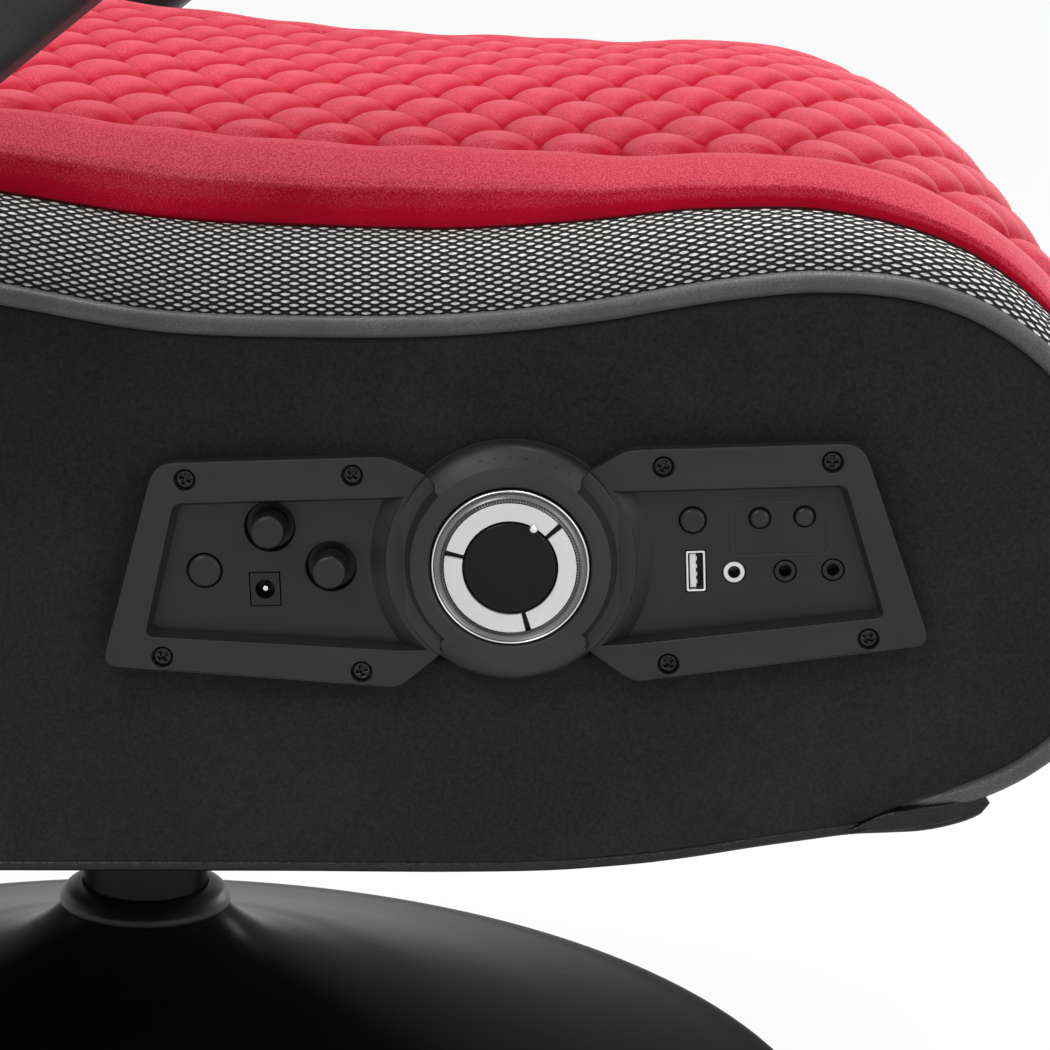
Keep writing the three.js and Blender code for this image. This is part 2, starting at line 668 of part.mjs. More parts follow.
const panel = new THREE.Group();
panel.position.set(panelX, -sideOuter, panelHeight);
panel.rotation.set(Math.PI / 2, 0, panelTilt);
panel.updateMatrix();
const lippedSlab = (lip, z0, z1) => {
  const half = [
    [recessTopHalf + lip, recessTop + lip], [recessBottomHalf + lip, -recessOuterFoot - lip],
    [panelRoot, -recessInnerFoot - lip],
  ];
  const outline = [...half, ...half.map(([x, y]) => [-x, y]).reverse()];
  const shape = new THREE.Shape(outline.map(([x, y]) => new THREE.Vector2(x, y)));
  return new THREE.ExtrudeGeometry(shape, { depth: z1 - z0, bevelEnabled: false }).translate(0, 0, z0);
};
const panelWindow = lippedSlab(windowLip, -sideThickness - overrun, overrun).applyMatrix4(panel.matrix);
const sidePanel = (side) => {
  const near = side > 0 ? sideInner : -sideOuter;
  const slab = cut(sidePlate(sideOutline, near, near + sideThickness), hingeSweep(seatJoint, sweepHalf));
  return side > 0 ? slab : cut(slab, panelWindow);
};
bothSides(seat, "seat_side", sidePanel, suede);

// Mesh bands, side bolsters and the quilted cushion follow the side panels' top edge
const bandOuter = sideOuter - bandInset;
const bandSection = (rise) => {
  const top = rise * bandShare;
  const inner = sideInner + gap;
  const width = bandOuter - meshHalf;
  const face = bandFaceShares.map(([across, up]) => [bandOuter - width * across, top * up]);
  return [[bandOuter, gap], ...face, [inner, top * bandRootShare], [inner, gap]];
};
const bolsterSection = (rise) => {
  const top = rise * bandShare;
  const width = meshHalf - seamHalf;
  const crown = bolsterCrown * Math.min(1, rise / (seamRise * crownRiseShare));
  const face = bolsterFaceShares.map(([across, up, swell]) => [
    meshHalf - width * across, top + (rise - top) * up + crown * swell,
  ]);
  return [
    [sideInner, gap], [sideInner, top * bandRootShare + gap], [meshHalf - gap, top + gap], ...face,
    [seamHalf + gap, rise], [seamHalf + gap, gap],
  ];
};
const joined = (geometry) => cut(geometry, hingeSweep(seatJoint, sweepHalf));
bothSides(seat, "seat_mesh", (side) => joined(strip(seatStations, bandSection, side)), net);
bothSides(seat, "seat_bolster", (side) => joined(strip(seatStations, bolsterSection, side)), velvet);
const quiltSteps = Math.round(seatLine.getLength() / quiltPitch) * 2;
const quiltRows = Math.round((2 * seamHalf) / quiltRowStep);
const seatCrown = (s) => {
  const nose = THREE.MathUtils.smoothstep(-s.nz, -noseTurnShare, 0);
  const fade = THREE.MathUtils.smoothstep(1 - s.t, 0, crownEndShare);
  return THREE.MathUtils.lerp(cushionCrown, noseCrown, nose) * fade;
};
add(seat, "seat_cushion", joined(quiltedPad(
  stationsOf(seatLine, 0, 1, quiltSteps), seamHalf, quiltRows, seatCrown,
)), velvet);

// Welts sewn along the side panels' top edges
const weltSides = 6;
const weltSection = Array.from({ length: weltSides }, (_, i) => {
  const a = (2 * Math.PI * (i + 0.5)) / weltSides;
  return new THREE.Vector2(Math.cos(a), Math.sin(a));
});
const weltCentre = bandOuter + gap + weltRadius;
bothSides(seat, "seat_welt", (side) => {
  const rings = seatStations.slice(1).map((s) => weltSection.map((p) => (
    atStation(s, side * (weltCentre + p.x * weltRadius), gap + weltRadius * (1 + p.y))
  )));
  return loft(rings, weltSection);
}, greyVinyl);

// Dust cover under the base board, open round the bracket
add(seat, "dust_cover", cut(
  board(-sideRear + sideCorner, frontRailX, boardBottom - gap - coverSheet, boardBottom - gap),
  box(axleX - seatPlateLength / 2 - gap, axleX + seatPlateLength / 2 + gap,
    -seatPlateWidth / 2 - gap, seatPlateWidth / 2 + gap, seatBase - bracketSheet, boardBottom),
), blackPlastic);

// Fold hinge plates with their pins, standing on the deck inside the side panels
bothSides(seat, "hinge_plate", (side) => {
  const outline = new THREE.Shape();
  outline.moveTo(hingeX - hingeFoot / 2, deckTop);
  outline.lineTo(hingeX + hingeFoot / 2, deckTop);
  outline.lineTo(hingeX + hingeEyeRadius, hingeHeight);
  outline.absarc(hingeX, hingeHeight, hingeEyeRadius, 0, Math.PI, false);
  outline.closePath();
  const outer = sideInner - gap;
  const near = side > 0 ? outer - hingePlate : -outer;
  const pin = side > 0
    ? crossRod(hingePinRadius, outer - hingePinLength - hingePlate, outer, hingeX, hingeHeight)
    : crossRod(hingePinRadius, -outer, -outer + hingePinLength + hingePlate, hingeX, hingeHeight);
  return join(sidePlate(outline, near, near + hingePlate), pin);
}, steel);

// Control panel frame: two wings round the dial with flared recesses
seat.add(panel);
const wing = [
  [panelRoot - panelChamferIn, panelTopEdge - panelChamferTop], [panelRoot, panelTopEdge],
  [panelTopHalf, panelTopEdge], [panelBottomHalf, -panelOuterFoot],
  [panelRoot, -panelInnerFoot], [panelRoot - panelChamferIn, -panelInnerFoot + panelChamferFoot],
];
function roundedShape(points, radii) {
  const shape = new THREE.Shape();
  points.forEach(([x, y], i) => {
    const r = radii[i];
    const before = points[(i + points.length - 1) % points.length];
    const after = points[(i + 1) % points.length];
    const corner = new THREE.Vector2(x, y);
    const to = new THREE.Vector2(...before).sub(corner).setLength(r).add(corner);
    const from = new THREE.Vector2(...after).sub(corner).setLength(r).add(corner);
    if (i === 0) shape.moveTo(to.x, to.y);
    else shape.lineTo(to.x, to.y);
    if (r > 0) shape.quadraticCurveTo(x, y, from.x, from.y);
  });
  shape.closePath();
  return shape;
}
const wingShape = roundedShape(wing, [0, 0, panelCorner, panelCorner, 0, 0]);
const wingBody = new THREE.ExtrudeGeometry(wingShape, {
  depth: panelRise - gap - panelBevel, curveSegments: 4,
  bevelThickness: panelBevel, bevelSize: panelBevel, bevelOffset: -panelBevel, bevelSegments: 1,
}).translate(0, 0, gap);
const wingTrim = box(
  0, panelBottomHalf + overrun, -panelInnerFoot - overrun, panelTopEdge + overrun,
  gap, panelRise + overrun,
);
const arcStart = Math.asin(recessTop / recessArc);
const arcEnd = -Math.asin((recessInnerFoot - overrun) / recessArc);
const arcSteps = 8;
const recessPoints = (grow) => {
  const arc = Array.from({ length: arcSteps + 1 }, (_, i) => {
    const a = arcEnd + ((arcStart - arcEnd) * i) / arcSteps;
    return [(recessArc - grow) * Math.cos(a), (recessArc - grow) * Math.sin(a)];
  });
  const ends = [[arc[0][0], -recessInnerFoot - grow], [arc[arcSteps][0], recessTop + grow]];
  return [
    [recessTopHalf + grow, recessTop + grow], ends[1], ...arc.slice(1, -1).reverse(), ends[0],
    [recessBottomHalf + grow, -recessOuterFoot - grow],
  ].map(([x, y]) => new THREE.Vector2(x, y));
};
const flared = (low, high, z0, z1) => {
  const at = (points, z) => points.map((p) => new THREE.Vector3(p.x, p.y, z));
  return loft([at(low, z0), at(high, z1)], low);
};
const mouth = recessFlare * (panelRise + overrun - insertRise) / (panelRise - insertRise);
const recess = join(
  flared(recessPoints(0), recessPoints(0), -overrun, insertRise),
  flared(recessPoints(0), recessPoints(mouth), insertRise, panelRise + overrun),
);
const mirrored = (geometry) => geometryOf(solidOf(geometry.clone().scale(-1, 1, 1)));
const dialRoom = rod(dialWall + gap, gap - overrun, panelRise + overrun, round);
const frameWing = cut(clip(wingBody, wingTrim), recess, dialRoom);
const bridgeRadius = dialHousingRadius + 2 * gap;
const bridge = turned([
  [shaftRadius + controlGap, gap], [bridgeRadius, gap], [bridgeRadius, dialPlate + gap],
  [shaftRadius + controlGap, dialPlate + gap],
], round);
const screwCuts = screwPlaces.flatMap(([x, y]) => [-1, 1].flatMap((side) => [
  rod(screwHoleRadius, -overrun, panelRise + overrun, tiny).translate(side * x, y, 0),
  rod(counterboreRadius, panelRise - counterboreDepth, panelRise + overrun, tiny).translate(side * x, y, 0),
]));
add(panel, "panel_frame", cut(join(frameWing, mirrored(frameWing), bridge), ...screwCuts), mouldedPlastic);

// Insert plate: fills both recesses from behind and carries the controls
const insertPlug = flared(recessPoints(-gap), recessPoints(-gap), -insertFlange, insertRise);
const insertPlate = lippedSlab(insertLip, -insertFlange, 0);
const postFoot = -boardOffset + gap;
const postX = recessTopHalf - postRadius;
const postY = circuitHeight / 2 - postInset;
const posts = [[-1, -1], [-1, 1], [1, -1], [1, 1]].map(([sx, sy]) => (
  rod(postRadius, postFoot, -insertFlange + overrun, tiny).translate(sx * postX, sy * postY, 0)
));
const cutFoot = -insertFlange - overrun;
const cutTop = insertRise + overrun;
const roundCut = ([x, y], radius) => rod(radius, cutFoot, cutTop).translate(x, y, 0);
const buttons = {
  power_button: powerButton,
  mode_button: modeButton,
  light_up_button: lightUpButton,
  light_down_button: lightDownButton,
};
const socketCut = ({ at: [x, y], width, height }) => box(
  x - width / 2 - gap, x + width / 2 + gap, y - height / 2 - gap, y + height / 2 + gap, cutFoot, cutTop,
);
add(panel, "panel_insert", cut(
  join(insertPlate, insertPlug, mirrored(insertPlug), ...posts),
  rod(shaftRadius + controlGap, cutFoot, cutTop),
  roundCut(vibrationKnobAt, knobHoleRadius), roundCut(bassKnobAt, knobHoleRadius),
  ...Object.values(buttons).map(({ at, radius }) => roundCut(at, radius + buttonHoleGap)),
  socketCut(powerJack), socketCut(usbSocket),
  roundCut(inputJackAt, audioJackRadius + gap), roundCut(frontOutputJackAt, audioJackRadius + gap),
  roundCut(rearOutputJackAt, audioJackRadius + gap),
), darkPlastic);
add(panel, "circuit_board", box(-circuitHalf, circuitHalf, -circuitHeight / 2, circuitHeight / 2,
  -boardOffset - circuitSheet, -boardOffset), circuitGreen);

// Sockets stand on the circuit board and end flush with the insert
const [jackX, jackY] = powerJack.at;
const jackBody = box(jackX - powerJack.width / 2, jackX + powerJack.width / 2,
  jackY - powerJack.height / 2, jackY + powerJack.height / 2, postFoot, insertRise);
const jackPinFoot = insertRise - audioJackDepth;
add(panel, "dc_jack", join(
  cut(jackBody, rod(powerJack.hole, jackPinFoot, insertRise + overrun, fine).translate(jackX, jackY, 0)),
  rod(powerJack.pin, jackPinFoot - overrun, insertRise - overrun, tiny).translate(jackX, jackY, 0),
), blackPlastic);
const [usbX, usbY] = usbSocket.at;
const usbInner = (shrink) => [
  usbX - usbSocket.width / 2 + shrink, usbX + usbSocket.width / 2 - shrink,
  usbY - usbSocket.height / 2 + shrink, usbY + usbSocket.height / 2 - shrink,
];
add(panel, "usb_socket", join(
  cut(box(...usbInner(0), postFoot, insertRise), box(...usbInner(usbSocket.wall), jackPinFoot, cutTop)),
  box(usbX - usbSocket.tongue / 2, usbX + usbSocket.tongue / 2 - usbSocket.wall / 2,
    usbY - usbSocket.height / 2 + usbSocket.wall * 2, usbY + usbSocket.height / 2 - usbSocket.wall * 2,
    jackPinFoot - overrun, insertRise - overrun),
), silver);
const audioJack = ([x, y]) => turned([
  [0, postFoot], [audioJackRadius, postFoot], [audioJackRadius, insertRise], [audioJackHole, insertRise],
  [audioJackHole, jackPinFoot], [0, jackPinFoot],
], fine).translate(x, y, 0);
add(panel, "input_jack", audioJack(inputJackAt), whitePlastic);
add(panel, "front_output_jack", audioJack(frontOutputJackAt), blackPlastic);
add(panel, "rear_output_jack", audioJack(rearOutputJackAt), blackPlastic);

// Dial housing: a stepped cup over the panel's bridge, its skirt notched for the two wings
const housingFoot = dialPlate + gap * 2;
const housingFloor = housingFoot + dialFloor;
const dialBack = housingFloor + gap;
const wingRoom = wing.map(([x, y]) => (
  new THREE.Vector2(x < panelRoot ? x - gap : x, y + Math.sign(y) * 2 * gap)
));
const notch = cut(
  new THREE.ExtrudeGeometry(new THREE.Shape(wingRoom), { depth: dialHousingRise, bevelEnabled: false }),
  rod(dialWall, -overrun, dialHousingRise + overrun, round),
);
add(panel, "dial_housing", cut(turned([
  [shaftRadius + controlGap, housingFoot], [dialHousingRadius, housingFoot], [dialHousingRadius, dialSkirt],
  [dialHousingRadius - dialFloor, dialSkirt + dialFloor], [dialShoulder, dialHousingRise - dialFloor / 3],
  [dialShoulder - dialFloor / 2, dialHousingRise],
  [dialBore + dialFloor / 2, dialHousingRise - dialFloor / 4], [dialBore, dialHousingRise - dialFloor],
  [dialBore, housingFloor], [shaftRadius + controlGap, housingFloor],
], round), notch, mirrored(notch)), mouldedPlastic);
add(panel, "volume_dial", turned([
  [0, postFoot], [shaftRadius, postFoot], [shaftRadius, dialBack], [dialRadius, dialBack],
  [dialRadius, dialRimRise - dialPlate], [dialRadius - dialPlate / 2, dialRimRise],
  [dialRingRadius, dialRimRise], [dialRingRadius, dialRingRise], [dialCapRadius, dialRingRise],
  [dialCapRadius - dialPlate / 2, dialCapRise], [0, dialCapRise],
], round), silver);

// Knobs turn in wide round openings; buttons slide on thin stems
const knob = ([x, y]) => turned([
  [0, postFoot], [shaftRadius, postFoot], [shaftRadius, gap], [knobRadius, gap],
  [knobRadius, knobRise - knobEdge], [knobRadius - knobEdge, knobRise], [0, knobRise],
], fine).translate(x, y, 0);
add(panel, "vibration_knob", knob(vibrationKnobAt), darkPlastic);
add(panel, "bass_knob", knob(bassKnobAt), darkPlastic);
const stemFoot = postFoot + buttonTravel;
for (const [name, { at: [x, y], radius }] of Object.entries(buttons)) {
  add(panel, name, turned([
    [0, stemFoot], [buttonStem, stemFoot], [buttonStem, -insertFlange], [radius, -insertFlange],
    [radius, buttonRise - buttonTravel / 2], [radius - buttonTravel / 2, buttonRise], [0, buttonRise],
  ], fine).translate(x, y, 0), darkPlastic);
}

// Back: side panels with a round lower end that turns inside the seat's joint
const back = new THREE.Group();
back.position.set(hingeX, 0, hingeHeight);
back.rotation.y = -backAngle;
seat.add(back);
const taper = (geometry) => {
  const p = geometry.getAttribute("position");
  for (let i = 0; i < p.count; i += 1) {
    const share = (p.getZ(i) + jointRadius) / (backLength + jointRadius);
    p.setY(i, p.getY(i) * (1 - backTaperShare * share));
  }
  return geometry;
};
const backLine = new THREE.CatmullRomCurve3(backLineShares.map(([x, z, rise]) => new THREE.Vector3(
  x * backDepth, z * backLength, rise * backRise,
)), false, "centripetal");
const backStations = stationsOf(backLine, 0, 1, 16);
const rearLine = new THREE.SplineCurve(backRearShares.map(([x, z]) => (
  new THREE.Vector2(x * backDepth, z * backLength)
)));
const rearPoints = rearLine.getPoints(14).map((p) => [p.x, p.y]);
const frontPoints = backStations.map((s) => [s.x, s.z]);
const footArc = (radius, fromX) => {
  const start = Math.PI + Math.acos(fromX / -radius);
  const steps = 10;
  return Array.from({ length: steps + 1 }, (_, i) => {
    const a = start + ((Math.PI - start) * i) / steps;
    return [radius * Math.cos(a), radius * Math.sin(a)];
  });
};
const backFoot = footArc(jointRadius, -footShare * backDepth);
const trimmedFront = frontPoints.filter(([, z]) => z > -jointRadius * footTrimShare);
const sideOutlineBack = [...trimmedFront, ...backFoot.slice(0, -1), ...rearPoints];

const backInner = backSideInner - softGap;
const headrestStart = backLength - headrestLength;
const speakerHeight = backLength - speakerDrop;
const wooferHeight = backLength * wooferHeightShare;
const eyeStart = seamHalf - softGap;
const eyeFoot = eyeStart - backBoard - softGap;
const backSpace = join(
  crossRod(jointRadius, -sweepHalf, sweepHalf, 0, 0, broad),
  box(-backLength, backLength, -sweepHalf, sweepHalf, 0, backLength + backDepth),
);
const plateIn = boardHalf - hingePlate - gap * 2;
const plateOut = boardHalf + gap * 2;
const hingeSides = [[plateIn, plateOut, eyeFoot], [-plateOut, -plateIn, -eyeFoot]];
const hingeRoom = hingeSides.flatMap(([y0, y1, foot]) => [
  crossRod(jointRadius + overrun, y0, y1, 0, 0),
  crossRod(hingeEyeRadius + softGap, Math.min(foot, y0), Math.max(foot, y1), 0, 0),
]);
const within = (geometry) => cut(taper(clip(geometry, backSpace)), ...hingeRoom);
bothSides(back, "back_side", (side) => {
  const near = side > 0 ? backSideInner : -backSideOuter;
  return cut(taper(sidePlate(sideOutlineBack, near, near + backSideOuter - backSideInner)), ...hingeRoom);
}, suede);
const backBandOuter = backSideOuter - bandInset;
const backBolsterSection = (rise) => {
  const width = backBandOuter - seamHalf;
  const face = backBolsterShares.map(([across, up, swell]) => [
    backBandOuter - width * across, rise * up + bolsterCrown * swell,
  ]);
  return [[backBandOuter, softGap], ...face, [seamHalf + softGap, rise], [seamHalf + softGap, softGap]];
};
bothSides(back, "back_bolster", (side) => within(strip(backStations, backBolsterSection, side)), velvet);
const padHalf = seamHalf + softGap - gap;
const padShare = findShare(backLine, headrestStart - softGap);
const padSteps = Math.round((backLine.getLength() * (1 - padShare)) / (quiltPitch * backQuiltScale)) * 2;
const padStations = stationsOf(backLine, padShare, 1, padSteps);
const padRows = Math.round(quiltRows / backQuiltScale);
add(back, "back_cushion", within(quiltedPad(padStations, padHalf, padRows, () => cushionCrown)), velvet);

// Headrest over the cushion, with a speaker in each end
const headStations = stationsOf(backLine, 0, findShare(backLine, headrestStart + softGap), 8);
const headHalf = padHalf;
const headSection = (rise) => {
  const steps = 8;
  const top = Array.from({ length: steps + 1 }, (_, i) => {
    const y = headHalf * (1 - (2 * i) / steps);
    return [y, rise + headCrown * (1 - (y / headHalf) ** 2)];
  });
  return [[-headHalf, softGap], [headHalf, softGap], ...top];
};
const speakerLine = backLineShares[3][0] * backDepth; // the back's front edge at the speakers
const speakerFace = speakerLine + backRise + headCrown * (1 - (speakerOffset / headHalf) ** 2);
const speakerSeat = speakerFace - speakerBody;
const alongBack = (radius, x0, x1, y, z, facets = fine) => (
  rod(radius, x0, x1, facets).rotateY(Math.PI / 2).translate(0, y, z)
);
const speakerHoles = [-speakerOffset, speakerOffset].map((y) => (
  alongBack(speakerRadius + gap, speakerSeat - gap, speakerFace + overrun, y, speakerHeight, round)
));
add(back, "headrest", cut(within(strip(headStations, headSection, 1)), ...speakerHoles), velvet);
bothSides(back, "headrest_speaker", (side) => turned([
  [0, speakerSeat], [speakerRadius, speakerSeat],
  ...speakerShares.map(([out, deep]) => [speakerRadius * out, speakerFace - speakerDepth * deep]),
], round).rotateY(Math.PI / 2).translate(0, side * speakerOffset, speakerHeight), darkPlastic);

// Board that carries the back, with two eyes on the hinge pins
const boardBack = -backBoardFront - backBoard;
const boardTopEnd = backLength * backBoardShare;
const hingeEyes = [-1, 1].flatMap((side) => {
  const y0 = side > 0 ? eyeStart - backBoard : -plateIn;
  const y1 = side > 0 ? plateIn : -eyeStart + backBoard;
  return [
    crossRod(hingeEyeRadius, y0, y1, 0, 0),
    box(boardBack, -hingeEyeRadius / 2, y0, y1, -hingeEyeRadius, hingeEyeRadius),
  ];
});
const boardStep = 2 * hingeEyeRadius; // the board widens above the hinges
const backBoardBody = join(
  box(boardBack, -backBoardFront, -backInner, backInner, boardStep, boardTopEnd),
  box(boardBack, -backBoardFront, -eyeStart, eyeStart, -jointRadius * boardFootShare, boardStep + overrun),
);
add(back, "back_board", cut(
  join(taper(backBoardBody), ...hingeEyes),
  crossRod(hingePinRadius + shaftGap, -sweepHalf, sweepHalf, 0, 0),
), plywood);

// Rear cover with an opening over the woofer
const coverInner = rearPoints.slice(0, -1).map(([x, z]) => [x + backCoverThickness, z]);
const coverOutline = [...rearPoints, ...coverInner.reverse()];
const coverSlab = sidePlate(coverOutline, -backInner, backInner);
const coverRound = clip(
  crossRod(jointRadius, -eyeStart, eyeStart, 0, 0, broad),
  box(-backDepth, -backDepth + backCoverThickness, -backInner, backInner, -jointRadius, overrun),
);
const wooferCut = alongBack(
  wooferHole, -backDepth - backCoverThickness, -backCoverThickness, 0, wooferHeight, round,
);
add(back, "back_cover", cut(taper(join(coverSlab, coverRound)), wooferCut), suede);
const wooferFront = -backDepth + gap;
const wooferBase = boardBack - gap;
add(back, "woofer", turned(wooferShares.map(([out, deep]) => [
  (wooferHole - gap) * out, THREE.MathUtils.lerp(wooferBase, wooferFront, deep),
]), round).rotateY(Math.PI / 2).translate(0, 0, wooferHeight), darkPlastic);

// Arms: padded boomerangs that flip up about their pivots on the seat's sides
const rise = new THREE.Vector2(Math.cos(armSlope), Math.sin(armSlope));
const across = new THREE.Vector2(-rise.y, rise.x);
const armPoint = (along, out) => new THREE.Vector2(
  armPivotX + rise.x * along + across.x * out, armPivotHeight + rise.y * along + across.y * out,
);
const armOutline = new THREE.Shape();
const lowStart = armPoint(0, -armHalf);
const lowEnd = armPoint(armRun, -armHalf);
const padBottom = armPadTop - armPadDepth;
const padMiddle = (armPadTop + padBottom) / 2;
armOutline.moveTo(lowStart.x, lowStart.y);
armOutline.lineTo(lowEnd.x, lowEnd.y);
armOutline.quadraticCurveTo(lowEnd.x + armHalf, padBottom, lowEnd.x + armPadDepth, padBottom);
armOutline.lineTo(armPadFront, padBottom);
armOutline.absarc(armPadFront, padMiddle, armPadDepth / 2, -Math.PI / 2, Math.PI / 2, false);
armOutline.lineTo(armPadRear + armPadDepth, armPadTop);
const rearEnd = armPoint(armRun * armBendShare, armHalf);
armOutline.bezierCurveTo(
  armPadRear, armPadTop, rearEnd.x + armHalf, rearEnd.y + armHalf, rearEnd.x, rearEnd.y,
);
const highStart = armPoint(0, armHalf);
armOutline.lineTo(highStart.x, highStart.y);
const armTurn = armSlope + Math.PI / 2;
armOutline.absarc(armPivotX, armPivotHeight, armHalf, armTurn, armTurn + Math.PI, false);
armOutline.closePath();
const armBody = new THREE.ExtrudeGeometry(armOutline, {
  depth: armWidth - 2 * armRound, bevelEnabled: true, bevelThickness: armRound, bevelSize: armRound,
  bevelOffset: -armRound, bevelSegments: 2, curveSegments: 5,
}).rotateX(Math.PI / 2).translate(0, armWidth - armRound, 0);
const armPinStart = sideOuter + gap;
const arms = { right: new THREE.Group(), left: new THREE.Group() };
for (const [name, group] of Object.entries(arms)) {
  const side = name === "right" ? -1 : 1;
  const near = side > 0 ? armInner : -armInner - armWidth;
  const bore = armInner + armPinLength + gap;
  const boreCut = side > 0
    ? crossRod(armPinRadius + shaftGap, armInner - overrun, bore, armPivotX, armPivotHeight)
    : crossRod(armPinRadius + shaftGap, -bore, -armInner + overrun, armPivotX, armPivotHeight);
  add(group, `arm_${name}`, cut(armBody.clone().translate(0, near, 0), boreCut), vinyl);
  const pin = turned([
    [0, armPinStart], [armFlangeRadius, armPinStart], [armFlangeRadius, armInner - gap],
    [armPinRadius, armInner - gap], [armPinRadius, armInner + armPinLength], [0, armInner + armPinLength],
  ], fine).rotateX(side > 0 ? -Math.PI / 2 : Math.PI / 2).translate(armPivotX, 0, armPivotHeight);
  add(seat, `arm_pivot_${name}`, pin, steel);
  seat.add(group);
}

export default chair;
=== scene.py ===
# Gaming rocker chair on a round pedestal, dressed for rendering. Metres, +Z up, +X to the front
# of the seat; the control panel is on the sitter's right, towards -Y.
from math import cos, sin, pi, radians, hypot
import bmesh
import bpy
import numpy as np
from mathutils import Matrix, Vector


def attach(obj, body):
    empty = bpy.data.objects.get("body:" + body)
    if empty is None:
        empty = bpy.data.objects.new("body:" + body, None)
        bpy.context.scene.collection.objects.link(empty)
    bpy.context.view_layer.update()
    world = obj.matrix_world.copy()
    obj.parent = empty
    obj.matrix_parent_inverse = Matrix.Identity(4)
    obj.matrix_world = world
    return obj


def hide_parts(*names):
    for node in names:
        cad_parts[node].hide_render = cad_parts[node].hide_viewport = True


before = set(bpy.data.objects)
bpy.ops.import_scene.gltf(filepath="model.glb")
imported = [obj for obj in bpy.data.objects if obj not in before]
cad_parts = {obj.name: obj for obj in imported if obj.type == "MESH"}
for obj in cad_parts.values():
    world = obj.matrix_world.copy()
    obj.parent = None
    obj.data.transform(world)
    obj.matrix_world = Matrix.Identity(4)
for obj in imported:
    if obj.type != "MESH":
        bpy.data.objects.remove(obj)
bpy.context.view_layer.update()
scene = bpy.context.scene
mm = 0.001
sides = ((-1, "right"), (1, "left"))

# --- studio
# The camera stands low and to the right of the chair, as the photograph's did, with a long lens.
# A pale floor, a white surround, three soft lamps, and a small one that glances off the foot.


def turned(degrees, axis):
    return Matrix.Rotation(radians(degrees), 4, axis)


def moved(x, y, z=0):
    """A shift given in millimetres."""
    return Matrix.Translation((x * mm, y * mm, z * mm))


lens = bpy.data.cameras.new("long_lens")
lens.lens = 108.64
lens.sensor_width = 36
camera = bpy.data.objects.new("camera", lens)
camera.matrix_world = (
    Matrix.Translation((0.17162, -1.22113, 0.5623))
    @ turned(1.0903, "Z") @ turned(90 - 13.4658, "X") @ turned(2.5903, "Z")
)
scene.collection.objects.link(camera)
scene.camera = camera
scene.view_settings.view_transform = "Standard"


class Nodes:
    """Adds nodes to an empty tree. Inputs are numbers, colours (one number is a grey), or other
    nodes' outputs; most methods return the new node's output."""

    def __init__(self, tree):
        self.tree = tree
        tree.nodes.clear()

    def add(self, kind, inputs=None, **settings):
        node = self.tree.nodes.new(kind)
        for name, value in settings.items():
            setattr(node, name, value)
        for key, value in (inputs or {}).items():
            socket = node.inputs[key]
            if isinstance(value, bpy.types.NodeSocket):
                self.tree.links.new(value, socket)
            elif socket.type == "RGBA":
                socket.default_value = (*((value,) * 3 if isinstance(value, (int, float)) else value), 1)
            else:
                socket.default_value = value
        return node

    def math(self, operation, *values):
        return self.add("ShaderNodeMath", dict(enumerate(values)), operation=operation).outputs[0]

    def blend(self, factor, first, second):
        """A colour between two others; the Mix node's colour sockets are the ones numbered here."""
        return self.add("ShaderNodeMix", {0: factor, 6: first, 7: second}, data_type="RGBA").outputs[2]

    def noise(self, scale, detail=2, stretch=None):
        """Noise on the object's coordinates in metres, from 0 to 1."""
        place = self.add("ShaderNodeTexCoord").outputs["Object"]
        if stretch:
            place = self.add("ShaderNodeMapping", {"Vector": place, "Scale": stretch}).outputs[0]
        return self.add("ShaderNodeTexNoise", {"Vector": place, "Scale": scale, "Detail": detail}).outputs[0]

    def spread(self, value, low, high, to_low=0, to_high=1):
        """A value's range from low to high, stretched to another range and held inside it."""
        ends = {"From Min": low, "From Max": high, "To Min": to_low, "To Max": to_high}
        return self.add("ShaderNodeMapRange", {"Value": value, **ends}).outputs[0]

    def bump(self, height, depth, **under):
        settings = {"Height": height, "Distance": depth, "Strength": 1, **under}
        return self.add("ShaderNodeBump", settings).outputs[0]

    def effect(self, group, *values):
        """The outputs of a shared effect, which is a node group with these values as its inputs."""
        return self.add("ShaderNodeGroup", dict(enumerate(values)), node_tree=group).outputs

    def seen_directly(self):
        """1 for rays from the camera, and for those that metal or glass sends on."""
        path = self.add("ShaderNodeLightPath").outputs
        sent_on = self.math("MAXIMUM", path["Is Glossy Ray"], path["Is Transmission Ray"])
        return self.math("MAXIMUM", path["Is Camera Ray"], sent_on)

    def mix_shaders(self, factor, first, second):
        return self.add("ShaderNodeMixShader", {0: factor, 1: first, 2: second}).outputs[0]


class Surface(Nodes):
    """The nodes of a new material; the slot it is given is not used."""

    def __init__(self, name, slot=None):
        self.material = bpy.data.materials.new(name)
        self.material.use_nodes = True
        super().__init__(self.material.node_tree)

    def shader(self, **inputs):
        """A Principled shader; its inputs are named in lower case."""
        named = {key.replace("_", " ").title().replace("Ior", "IOR"): inputs[key] for key in inputs}
        return self.add("ShaderNodeBsdfPrincipled", named).outputs[0]

    def output(self, shader):
        self.add("ShaderNodeOutputMaterial", {"Surface": shader})
        return self.material

    def finish(self, **inputs):
        return self.output(self.shader(**inputs))


